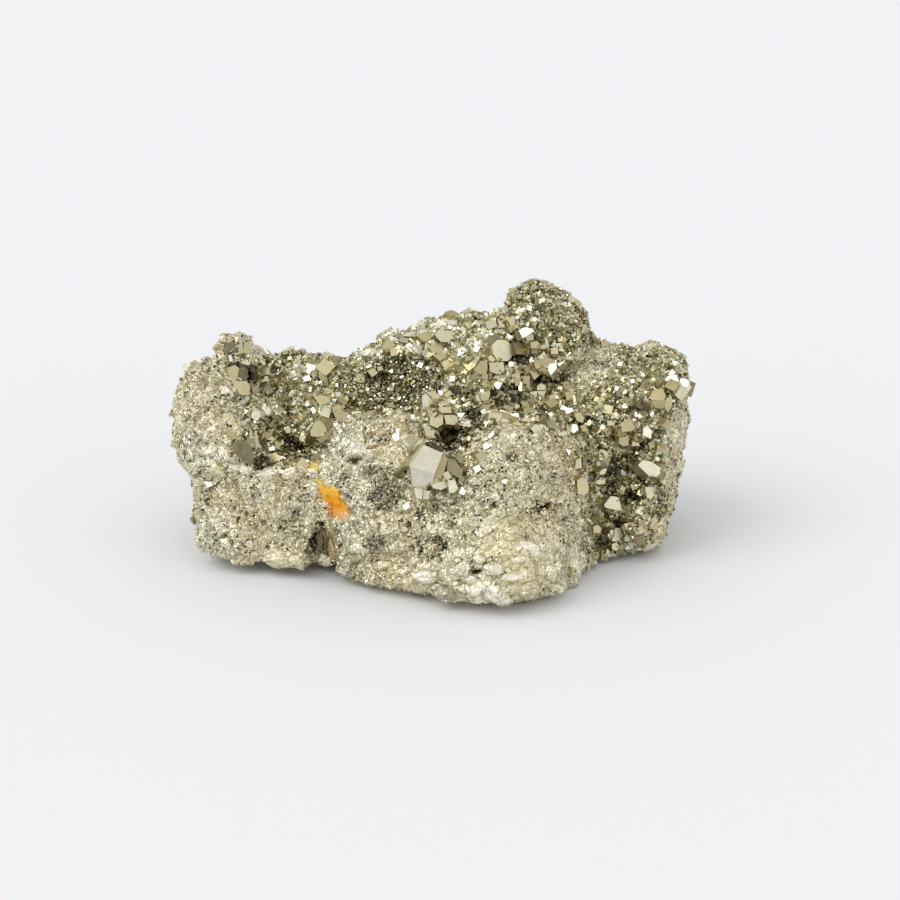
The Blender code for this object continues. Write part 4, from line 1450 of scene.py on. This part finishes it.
# %% Faces of the crest
CREST_FACES = (  # as for the peak
    (0.60, 0.8, 385, 345, 388, 339, 394, 341, 394, 347, 388, 352, 383, 349),
    (0.72, 0.6, 390, 349, 397, 348, 398, 355, 391, 356),
    (0.92, 0.9, 405, 336, 411, 332, 425, 330, 424, 333, 415, 337),
    (0.50, 0.9, 417, 336, 425, 331, 430, 333, 433, 337, 424, 342),
    (0.82, 0.8, 399, 341, 405, 336, 416, 337, 418, 343, 412, 345),
    (0.60, 0.9, 429, 348, 436, 341, 444, 350, 440, 354, 432, 352),
    (0.50, 0.7, 433, 355, 446, 352, 446, 357, 440, 361),
    (0.80, 0.8, 435, 335, 441, 330, 451, 331, 453, 338, 447, 342, 441, 342),
    (0.10, 0.4, 425, 326, 429, 325, 430, 330, 427, 331),
    (0.84, 0.8, 471, 366, 477, 356, 480, 357, 474, 369),
    (0.48, 0.6, 474, 370, 480, 361, 487, 361, 488, 370, 480, 375),
    (0.60, 0.5, 450, 355, 457, 355, 458, 360, 451, 360),
    (0.62, 0.5, 451, 362, 459, 362, 459, 368, 452, 367),
    (0.80, 0.5, 444, 367, 449, 365, 449, 370, 445, 371),
    (0.62, 0.8, 367, 371, 374, 368, 378, 373, 372, 377),
    (0.60, 0.5, 377, 367, 382, 366, 383, 370, 378, 371),
    (0.70, 0.5, 464, 323, 470, 321, 473, 326, 468, 329),
    (0.86, 0.5, 476, 395, 485, 395, 483, 401, 477, 401),
)
print("crest:", len(CREST_FACES), "faces")

# %% [markdown]
# ## Faces of the lobe's edge, and of the gaps
#
# Where the front lobe's top breaks off towards the pocket, a row of crystals runs along the edge. The last
# few are the dark faces between the peak's blocks, almost black as painted shade in the gaps, and some
# crystals that stand over others, so they come last.

# %% Faces of the lobe's edge, and of the gaps
EDGE_FACES = (  # as for the peak
    (0.80, 0.8, 489, 412, 502, 414, 500, 421, 494, 426, 486, 426, 488, 420),
    (0.45, 0.4, 486, 427, 494, 427, 490, 432), (0.86, 0.5, 472, 438, 480, 435, 481, 437, 474, 441),
    (0.62, 0.7, 475, 455, 480, 452, 486, 453, 487, 459, 480, 462),
    (0.8, 0.6, 521, 421, 524, 417, 530, 418, 531, 422), (0.72, 0.5, 535, 418, 539, 417, 540, 421, 535, 421),
    (0.52, 0.5, 528, 404, 533, 399, 541, 401, 544, 404, 535, 407),
    (0.60, 0.6, 547, 420, 553, 418, 557, 424, 556, 429, 548, 427),
    (0.74, 0.7, 559, 422, 563, 421, 565, 427, 562, 429),
    (0.84, 0.6, 565, 419, 569, 417, 573, 419, 570, 422),
    (0.62, 0.6, 574, 414, 580, 412, 584, 418, 583, 423, 577, 421),
    (0.50, 0.5, 580, 426, 585, 424, 589, 431, 583, 432),
    (0.86, 0.6, 558, 433, 567, 431, 567, 435, 559, 436), (0.85, 0.5, 580, 441, 587, 443, 583, 448),
    (0.74, 0.7, 576, 460, 581, 457, 582, 468, 575, 469),
    (0.15, 0.4, 583, 457, 587, 459, 586, 468, 583, 468),
    (0.86, 0.3, 531, 429, 535, 424, 541, 426, 541, 433, 535, 434),
)
GAP_FACES = (  # as for the peak
    (0.02, 0.5, 229, 364, 238, 361, 240, 364, 231, 366),
    (0.02, 0.5, 238, 361, 244, 363, 249, 370, 247, 371, 239, 366),
    (0.02, 0.5, 250, 366, 253, 365, 256, 372, 250, 372),
    (0.02, 0.5, 251, 372, 256, 372, 259, 379, 256, 382, 252, 378),
    (0.02, 0.3, 427, 442, 431, 441, 443, 448, 443, 452, 430, 447),
    (0.62, 1.0, 256, 363, 259, 360, 266, 363, 259, 368),
    (0.78, 2.4, 541, 378, 549, 376, 552, 384, 545, 388),
    (0.66, 0.8, 577, 481, 582, 477, 588, 482, 589, 490, 585, 495, 578, 494),
)
print("edge:", len(EDGE_FACES), "faces, gaps:", len(GAP_FACES))

# %% [markdown]
# ## The main crystal
#
# The biggest crystal sits in the middle: a blunt block of almost a centimetre, with sloping sides. A
# prism wouldn't do for it, because several of its faces show. So it is the hull of its own corners,
# each with its distance from the eye.

# %% The main crystal
MAIN_SEAT = (426, 468)
MAIN_TINT = 0.94
MAIN_CORNERS = (  # across and down in pixels, and how near to the eye in mm
    (424, 445, -0.6), (443, 453, 0.17), (435, 473.5, 2.6), (410, 466.5, 2.0), (432.5, 481, 2.11),
    (424, 486.5, 1.5), (413, 486, 1.1), (407, 461, -0.5), (417, 451.5, -0.58), (444, 458, -2.5),
    (435, 481, -1.0), (424, 491, -1.0), (412, 488, -0.8), (426, 465, -5.0),
)


def main_crystal():
    """The biggest crystal, from the corners of its faces: pixels and mm in front of the rock."""
    found, _, _, _ = rock_tree.ray_cast(EYE, sight_line(MAIN_SEAT))
    ahead = (found - EYE).length
    corners = [EYE + sight_line((across, down)) * (ahead - near * MM)
               for across, down, near in MAIN_CORNERS]
    middle = sum(corners, Vector()) / len(corners)
    pattern = hull_pattern([(corner - middle) / MM for corner in corners], upright=False)
    size = max(max(corner[axis] for corner in corners) - min(corner[axis] for corner in corners)
               for axis in range(3))
    return pattern, np.array([middle]), np.array([size]), np.array([np.eye(3)]), np.array([MAIN_TINT])


print("main crystal:", round(float(main_crystal()[2][0] / MM), 1), "mm")

# %% [markdown]
# ## Leading crystals
#
# All these crystals together are one piece. Each front face looks at the eye, turned a little to the
# right and up or down by chance, so that the light differs from face to face. A pale face is turned
# further right, where it mirrors the bright side of the room.

# %% Leading crystals
FACET_RIGHT = (0.04, 0.48)
FACET_UP = (-0.12, 0.42)
PALE_TINT = 0.75
PALE_RIGHT = 0.26  # turned this far, a face mirrors the bright room and not the dark corner
FACETS = (PEAK_FACES + VALLEY_FACES + HEART_FACES + NOOK_FACES + RIGHT_FACES + CREST_FACES
          + EDGE_FACES + GAP_FACES)


def corner_pairs(numbers):
    """Corners from a flat run of numbers: across, down, across, down and so on."""
    return list(zip(numbers[::2], numbers[1::2]))


def leading_crystals():
    chance = np.random.default_rng(51)
    batches = [main_crystal()]
    for tint_and_shade, lift, *numbers in FACETS:
        right, up = chance.uniform(*FACET_RIGHT), chance.uniform(*FACET_UP)
        main = facing(max(right, PALE_RIGHT) if tint_and_shade > PALE_TINT else right, up)
        batch = facet_prism(corner_pairs(numbers), main, lift, tint_and_shade)
        if batch:
            batches.append(batch)
    return joined_mesh("leading_crystals", batches, chance)


dressed("leading_crystals", leading_crystals(), BRIGHT)

# %% [markdown]
# ## Flashing faces
#
# About two hundred faces flash white, because they stand just so that they mirror the daylight to the
# eye. Each one is a small crystal whose main face looks halfway between the light and the eye. The
# bigger ones are given by their corners, as the leading crystals are, the smaller ones by their place
# and size, and the smallest are strewn over four parts of the specimen.

# %% Flashing faces
FLASH_FACES = (  # lift in mm, then across and down in pixels of each corner
    (2.4, 259, 385, 261, 382, 269, 384, 267, 388, 264, 390), (1.4, 269, 448, 274, 446, 275, 450, 268, 451),
    (0.5, 310, 409, 313, 407, 316, 411, 314, 414), (0.5, 397, 342, 403, 341, 403, 349, 397, 350),
    (0.5, 406, 345, 410, 343, 415, 349, 411, 352), (0.5, 438, 391, 441, 390, 443, 392, 442, 395, 439, 394),
    (0.5, 450, 400, 456, 400, 455, 404, 452, 404), (0.5, 456, 413, 465, 413, 461, 418),
    (0.5, 461, 399, 464, 397, 464, 401), (0.5, 407, 417, 411, 414, 418, 420, 411, 423),
    (0.5, 392, 437, 393, 434, 399, 432, 399, 439, 396, 441), (0.5, 459, 493, 462, 487, 466, 490, 464, 495),
    (0.5, 519, 331, 523, 328, 531, 327, 534, 331, 523, 338), (0.5, 490, 324, 493, 322, 499, 327, 497, 331),
    (0.5, 507, 333, 513, 337, 510, 339), (0.5, 484, 338, 488, 334, 489, 340),
    (0.5, 548, 370, 549, 364, 556, 363, 557, 368, 551, 375), (0.5, 557, 364, 565, 361, 559, 366),
    (0.5, 494, 384, 498, 382, 502, 383, 499, 389, 496, 388), (0.5, 518, 384, 522, 382, 522, 391, 519, 391),
    (0.5, 529, 360, 533, 356, 532, 361, 531, 362),
    (0.5, 665, 380, 668, 376, 676, 375, 678, 380, 674, 384, 669, 386),
    (0.5, 680, 381, 689, 383, 686, 387, 679, 385), (0.5, 635, 412, 638, 411, 642, 417, 639, 418),
    (0.5, 649, 411, 652, 410, 654, 413, 651, 417), (0.5, 487, 437, 493, 431, 494, 434, 490, 438),
    (0.5, 501, 481, 505, 479, 507, 481, 505, 484), (0.5, 513, 414, 518, 413, 519, 417, 514, 418),
    (0.5, 559, 410, 563, 405, 567, 408, 572, 408, 573, 411, 567, 414, 564, 420, 561, 418),
    (0.5, 568, 429, 572, 424, 577, 425, 578, 430, 573, 433), (0.5, 548, 414, 551, 412, 553, 415, 550, 416),
    (0.5, 598, 512, 601, 510, 603, 514, 600, 516), (0.5, 599, 551, 602, 549, 604, 551, 601, 553),
    (0.5, 631, 534, 635, 532, 636, 538, 632, 538), (0.5, 604, 495, 606, 493, 608, 497, 605, 498),
    (0.5, 402, 506, 408, 502, 410, 507, 405, 510), (0.5, 366, 367, 370, 364, 372, 366, 368, 368),
    (0.5, 466, 358, 469, 356, 470, 361, 467, 362), (0.5, 456, 349, 459, 348, 461, 355, 458, 356),
    (0.5, 389, 371, 392, 369, 394, 372, 391, 373), (0.5, 461, 381, 464, 378, 465, 383),
    (0.5, 566, 449, 571, 451, 569, 455), (0.5, 324, 367, 328, 362, 333, 363, 329, 369),
    (0.5, 291, 376, 296, 374, 297, 379, 293, 380), (0.5, 302, 378, 309, 375, 311, 380, 305, 381),
    (0.5, 386, 414, 391, 412, 391, 417, 387, 418),
)
FLASHES = (  # across, down and width in pixels
    (335, 425, 6), (485, 315, 6), (510, 336, 6), (542, 355, 5), (684, 384, 8), (638, 415, 5), (610, 417, 5),
    (224, 540, 7), (210, 485, 6), (463, 352, 6), (453, 380, 5), (448, 374, 4), (480, 344, 5), (477, 350, 5),
    (247, 356, 5), (276, 380, 4), (548, 350, 4), (561, 325, 6), (544, 331, 4), (575, 322, 5), (535, 320, 4),
    (642, 376, 5), (633, 382, 4), (593, 411, 5), (640, 548, 5), (594, 556, 6), (346, 385, 5), (402, 377, 4),
    (487, 447, 5), (491, 446, 4), (300, 440, 4), (286, 372, 4), (303, 426, 5), (285, 425, 4), (255, 394, 4),
    (336, 386, 5), (487, 403, 5), (477, 398, 4), (600, 430, 5), (590, 405, 4), (626, 407, 5), (617, 389, 4),
    (603, 428, 5), (598, 432, 4), (335, 426, 5), (478, 470, 6), (414, 386, 4), (430, 375, 4), (392, 399, 4),
    (421, 366, 5), (428, 369, 6), (426, 377, 4), (398, 431, 3), (340, 449, 5),
)
FLASH_SINK = 0.36
FLASH_SPREAD = 0.04
FLASH_FROM = Vector((-0.47, -0.26, 0.84)).normalized()  # the part of the sun's disc that clears the rock
GLINTS = (  # left, top, right and bottom in pixels, and how many
    (668, 400, 686, 490, 18), (250, 370, 345, 460, 38), (596, 420, 655, 540, 14), (365, 370, 430, 408, 24),
)
GLINT_SIZES = (1.5, 3.4)  # in pixels
FLASH_KINDS = (CUBE, BLOCK, CUT_CUBE, PYRITOHEDRON, GRAINS[0], GRAINS[4])


def mirror_way(towards_eye, chance):
    """The direction halfway between the eye and the light, a little off by chance."""
    half = (towards_eye.normalized() + FLASH_FROM).normalized()
    return (half + Vector(chance.normal(size=3)) * FLASH_SPREAD).normalized()


def flash(pixel, size, chance):
    """A small crystal on the rock behind a pixel, turned to flash, or None."""
    place = seat(pixel, size, FLASH_SINK)
    if place is None:
        return None
    turn = turned_to(mirror_way(EYE - place, chance), chance.uniform(0, 90))
    kind = FLASH_KINDS[chance.integers(len(FLASH_KINDS))]
    return kind, np.array([place]), np.array([size]), np.array([turn]), np.array([1.0])


def flashing_faces():
    chance = np.random.default_rng(52)
    batches = []
    for lift, *numbers in FLASH_FACES:
        corners = corner_pairs(numbers)
        batches.append(facet_prism(corners, mirror_way(-sight_line(corners[0]), chance), lift, 1.0))
    glints = [(chance.uniform(left, right), chance.uniform(top, bottom), chance.uniform(*GLINT_SIZES))
              for left, top, right, bottom, count in GLINTS for _ in range(count)]
    for across, down, wide in FLASHES + tuple(glints):
        batches.append(flash((across, down), wide * PIXEL, chance))
    return joined_mesh("flashing_faces", [batch for batch in batches if batch], chance)


dressed("flashing_faces", flashing_faces(), BRIGHT)

# %% [markdown]
# ## Pale knobs
#
# Along the foot of the front lobe, and on the left block's ledge, the rock has come away round by
# round, and left pale knobs of up to nine millimetres. Each is a ball of many faces, squashed, tilted,
# dented by noise of two sizes, and sunk into the rock.

# %% Pale knobs
# The pale tones of the four knobs just under the main crystal are painted light over the shade that the
# crystal casts.
KNOBS = (  # across, down, width and height in pixels, tone
    (460, 568, 24, 19, 0.64), (493, 569, 20, 13, 0.98), (528, 548, 23, 15, 0.92), (496, 592, 30, 23, 0.92),
    (511, 577, 22, 9, 0.96), (549, 572, 20, 18, 0.64), (480, 560, 13, 12, 0.78), (425, 577, 26, 11, 0.96),
    (472, 579, 19, 9, 0.7), (447, 593, 30, 18, 0.3), (527, 589, 22, 16, 0.44), (467, 589, 20, 14, 0.6),
    (554, 586, 20, 14, 0.60), (541, 556, 16, 12, 0.66), (557, 571, 12, 16, 0.6), (509, 534, 24, 21, 0.6),
    (540, 548, 12, 14, 0.7), (573, 566, 16, 22, 0.6), (570, 582, 18, 16, 0.4), (405, 571, 20, 12, 0.60),
    (385, 565, 22, 12, 0.58), (270, 474, 28, 11, 0.7), (291, 473, 26, 12, 0.68), (246, 469, 13, 11, 0.94),
    (213, 450, 26, 15, 0.86), (204, 461, 16, 12, 0.74), (225, 446, 16, 15, 0.94), (355, 447, 24, 15, 0.84),
    (371, 455, 15, 11, 0.80), (372, 357, 26, 18, 0.86), (190, 369, 14, 11, 0.66), (219, 470, 26, 16, 0.5),
    (228, 545, 11, 10, 0.72), (360, 548, 20, 10, 0.66), (399, 440, 14, 11, 0.66), (339, 441, 16, 12, 0.66),
    (415, 560, 16, 12, 0.6), (520, 560, 14, 10, 0.66), (505, 553, 16, 10, 0.6), (485, 548, 16, 11, 0.6),
    (411, 444, 22, 17, 0.86), (237, 466, 15, 11, 0.92), (284, 557, 44, 24, 0.56), (298, 561, 15, 16, 0.56),
    (448, 501, 22, 12, 0.76), (328, 558, 24, 16, 0.66), (226, 452, 14, 12, 0.96), (437, 495, 20, 13, 0.86),
    (450, 497, 22, 13, 0.84), (440, 487, 16, 9, 0.8), (384, 358, 14, 9, 0.8),
)
KNOB_SINK = 0.24
KNOB_DENT = 0.22
KNOB_FINE = 0.4  # how deep the fine dents are beside the coarse ones
DENT_SCALES = (3, 9)
KNOB_TILT = 0.5
KNOB_CUTS = 4  # rounds of cutting a ball's faces finer
NOISE_FIELD = 90


def knob_shape(bm, place, wide, high, chance):
    """One knob, as wide and high as it looks on the picture."""
    ball = bmesh.ops.create_icosphere(bm, subdivisions=KNOB_CUTS, radius=0.5)["verts"]
    tilt = chance.uniform(-KNOB_TILT, KNOB_TILT)
    offset = Vector(chance.uniform(0, NOISE_FIELD, size=3))
    deep = min(wide, high)
    for vert in ball:
        dent = noise_at(vert.co * DENT_SCALES[0] + offset) * KNOB_DENT
        dent += noise_at(vert.co * DENT_SCALES[1] + offset) * KNOB_DENT * KNOB_FINE
        out = vert.co * (1 + dent)
        rise = out.z * high + out.x * tilt * high
        shift = ACROSS * out.x * wide + UPWARD * rise + AHEAD * (out.y * deep + KNOB_SINK * deep)
        put = place + shift * PIXEL
        vert.co = (put.x, put.y, max(put.z, CAD_BOX[0][2]))


def pale_knobs():
    chance = np.random.default_rng(55)
    bm = bmesh.new()
    seated = [knob for knob in KNOBS if seat(knob[:2], 0, 0)]
    for across, down, wide, high, _ in seated:
        knob_shape(bm, seat((across, down), 0, 0), wide, high, chance)
    mesh = bpy.data.meshes.new("pale_knobs")
    bm.to_mesh(mesh)
    bm.free()
    mesh.shade_flat()
    each = len(mesh.polygons) // len(seated)
    face_attribute(mesh, "tone_and_shade", np.repeat([knob[4] for knob in seated], each))
    print("pale_knobs:", len(seated), "of", len(KNOBS), "seated,", len(mesh.polygons), "faces")
    return dressed("pale_knobs", mesh, SMOOTHER)


pale_knobs()

# %% [markdown]
# ## Skins on the rock
#
# Iron ochre, a soft yellow to orange powder, has run down the cleft between the two blocks. It is a
# skin on the rock, so it is made as one: a fine grid over its outline in the picture, dropped onto the
# rock along the sight lines, thick in the middle and thinning to nothing at the edge. Each point keeps
# how far down the skin it is, for the colour.

# %% Skins on the rock
THIN_END = 0.6  # how much thinner a skin is at its lower end
THIN_BEGINS = 0.75  # how far down it begins to thin
SKIN_SUNK = 0.35  # the edge lies this deep in the rock, as a share of the thickness
SKIN_ROUGH = 0.12


def distance_to_outline(spots, outline):
    """How far each spot is from an outline's nearest edge, in pixels."""
    corners = np.array(outline, dtype=float)
    best = np.full(len(spots), 1e9)
    for start, end in zip(corners, np.roll(corners, -1, axis=0)):
        along = end - start
        share = np.clip(((spots - start) @ along) / (along @ along), 0, 1)
        best = np.minimum(best, np.linalg.norm(spots - start - share[:, None] * along, axis=1))
    return best


def skin_rise(down, depth, thick, edge, chance):
    """How far a skin stands off the rock, by how far down it is and how far inside its edge."""
    thin = 1 - THIN_END * max(0.0, down - THIN_BEGINS) / (1 - THIN_BEGINS)
    swell = min(1.0, max(0.0, depth / edge)) ** 0.5
    return thick * thin * (swell - SKIN_SUNK + chance.uniform(-SKIN_ROUGH, SKIN_ROUGH))


def skin(name, outline, step, thick, edge, material, seed):
    """A skin of some thickness over an outline of the picture, lying on the rock."""
    chance = np.random.default_rng(seed)
    corners = np.array(outline, dtype=float)
    low, high = corners.min(axis=0) - step, corners.max(axis=0) + step
    columns = int((high[0] - low[0]) / step) + 1
    rows = int((high[1] - low[1]) / step) + 1
    grid = np.array([(low[0] + column * step, low[1] + row * step)
                     for row in range(rows) for column in range(columns)])
    inside = inside_outline(grid, outline)
    reach = distance_to_outline(grid, outline) * np.where(inside, 1, -1)
    bm = bmesh.new()
    verts = {}
    along = bm.verts.layers.float.new("along")
    for index, (spot, depth) in enumerate(zip(grid, reach)):
        found = rock_tree.ray_cast(EYE, sight_line(spot))[0] if depth >= -step else None
        if found is None:
            continue
        down = (spot[1] - low[1]) / (high[1] - low[1])
        rise = skin_rise(down, depth, thick, edge, chance)
        verts[index] = bm.verts.new(found - sight_line(spot) * rise)
        verts[index][along] = down
    for row in range(rows - 1):
        for column in range(columns - 1):
            first = row * columns + column
            ring = [first, first + columns, first + columns + 1, first + 1]
            if all(index in verts for index in ring):
                bm.faces.new([verts[index] for index in ring])
    mesh = bpy.data.meshes.new(name)
    bm.to_mesh(mesh)
    bm.free()
    mesh.shade_smooth()
    print(name, "faces:", len(mesh.polygons))
    return dressed(name, mesh, material)


# %% [markdown]
# ## Ochre
#
# Ochre is a powder, so it is matt and rough. Its colour runs from yellow at the top of the cleft to
# deep orange, and fades to tan at the foot, where bare grains show through. Beside the cleft there are
# two more spots of it, a pale one and a rusty one, each smaller than a lentil.

# %% Ochre
OCHRE_STEP = 1.1
OCHRE_THICK = 1.15 * MM
OCHRE_EDGE = 4.0
OCHRE_STOPS = (
    (0.0, (0.78, 0.56, 0.15, 1)),
    (0.35, (0.88, 0.63, 0.13, 1)),
    (0.5, (0.90, 0.54, 0.06, 1)),
    (0.64, (0.90, 0.42, 0.018, 1)),
    (0.78, (0.86, 0.40, 0.04, 1)),
    (0.89, (0.70, 0.38, 0.12, 1)),
    (1.0, (0.70, 0.50, 0.30, 1)),
)
PALE_SPOT = ((181, 400), (185, 402), (186, 408), (182, 411), (179, 407))
PALE_STOPS = ((0.0, (0.66, 0.58, 0.34, 1)), (1.0, (0.70, 0.60, 0.32, 1)))
RUST_SPOT = ((191, 445), (193, 449), (195, 455), (191, 457), (189, 452))
RUST_STOPS = ((0.0, (0.50, 0.22, 0.03, 1)), (1.0, (0.42, 0.20, 0.05, 1)))
BARE_GRAIN = (0.80, 0.74, 0.6, 1)
BARE_CELLS = 1700.0
BARE_SHARE = (0.78, 1.0, 0.0, 0.6)  # from and to how far down, and the share of bare cells there
POWDER_CELLS = 2600.0
POWDER_STRENGTH = 0.6
POWDER_DEEP = 0.3 * MM


def ochre_material(name, stops):
    made, tree, shader = new_material(name, 0.0, 0.9)
    wobble = ranged(tree, noise(tree, 450.0, 4.0), 0.0, 1.0, -0.16, 0.16)
    place = reckon(tree, "ADD", face_value(tree, "along"), wobble)
    bare = picked(tree, BARE_CELLS, ranged(tree, place, *BARE_SHARE))
    colour = mixed(tree, bare, colour_ramp(tree, place, stops), BARE_GRAIN)
    tree.links.new(colour, shader.inputs["Base Color"])
    powder = noise(tree, POWDER_CELLS, 4.0)
    bump = node(tree, "ShaderNodeBump",
                {"Height": powder, "Strength": POWDER_STRENGTH, "Distance": POWDER_DEEP})
    tree.links.new(bump.outputs[0], shader.inputs["Normal"])
    return made


skin("ochre", ZONES["ochre"], OCHRE_STEP, OCHRE_THICK, OCHRE_EDGE,
     ochre_material("iron ochre", OCHRE_STOPS), 61)
skin("ochre_spot", PALE_SPOT, 1.0, 0.45 * MM, 2.0, ochre_material("pale ochre", PALE_STOPS), 62)
skin("rust_spot", RUST_SPOT, 1.0, 0.4 * MM, 1.6, ochre_material("rust", RUST_STOPS), 63)

# %% [markdown]
# ## Fibres
#
# At the foot of the cleft the rock is streaked with brown, where the ochre's water dried on ribs of
# marcasite. They are thin blades that lie side by side.

# %% Fibres
FIBRE = hull_pattern(signs(1, 0.07, 0.06))
FIBRE_BOX = ((317, 337), (528, 557))
FIBRE_COUNT = 170
FIBRE_LENGTHS = (7, 17)  # in pixels
FIBRE_LEAN = (100, 118)
FIBRE_FAN = 0.5
FIBRE_THICK = 0.5 * MM
FIBRE_SINK = 0.3
FIBRE_DARK = (0.2, 0.15, 0.07, 1)
FIBRE_PALE = (0.68, 0.54, 0.3, 1)


def fibres():
    chance = np.random.default_rng(71)
    batches = []
    for _ in range(FIBRE_COUNT):
        spot = (chance.uniform(*FIBRE_BOX[0]), chance.uniform(*FIBRE_BOX[1]))
        size = chance.uniform(*FIBRE_LENGTHS) * PIXEL
        place = seat(spot, FIBRE_THICK, FIBRE_SINK)
        if place is None:
            continue
        lean = chance.uniform(*FIBRE_LEAN)
        fan = chance.uniform(-FIBRE_FAN, FIBRE_FAN)
        turn = turned_to((-AHEAD + ACROSS * fan).normalized(), lean)
        batches.append((FIBRE, np.array([place]), np.array([size]), np.array([turn]),
                        np.array([chance.uniform(0, 1)])))
    return joined_mesh("cleft_fibres", batches, chance)


def fibre_material():
    made, tree, shader = new_material("brown ribs", 0.3, 0.6)
    colour = mixed(tree, face_value(tree, "tint_and_shade"), FIBRE_DARK, FIBRE_PALE)
    tree.links.new(colour, shader.inputs["Base Color"])
    return made


dressed("cleft_fibres", fibres(), fibre_material())

# %% [markdown]
# ## Floor
#
# The specimen lies on a plain, matt, pale surface. It is far wider than the view, so its edge never shows.
# It isn't a part of the specimen.

# %% Floor
FLOOR_SIDE = 6.0
FLOOR_COLOUR = (0.762, 0.765, 0.785, 1)


def floor_piece():
    bm = bmesh.new()
    bmesh.ops.create_grid(bm, x_segments=2, y_segments=2, size=FLOOR_SIDE / 2)
    mesh = bpy.data.meshes.new("floor")
    bm.to_mesh(mesh)
    bm.free()
    made = link("floor", mesh)
    material, tree, shader = new_material("pale floor", 0, 0.9)
    shader.inputs["Base Color"].default_value = FLOOR_COLOUR
    made.data.materials.append(material)


floor_piece()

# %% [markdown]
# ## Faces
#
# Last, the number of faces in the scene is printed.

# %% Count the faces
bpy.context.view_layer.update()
total = sum(len(made.data.polygons) for made in bpy.context.scene.objects if made.type == "MESH")
print("faces in the scene:", total)
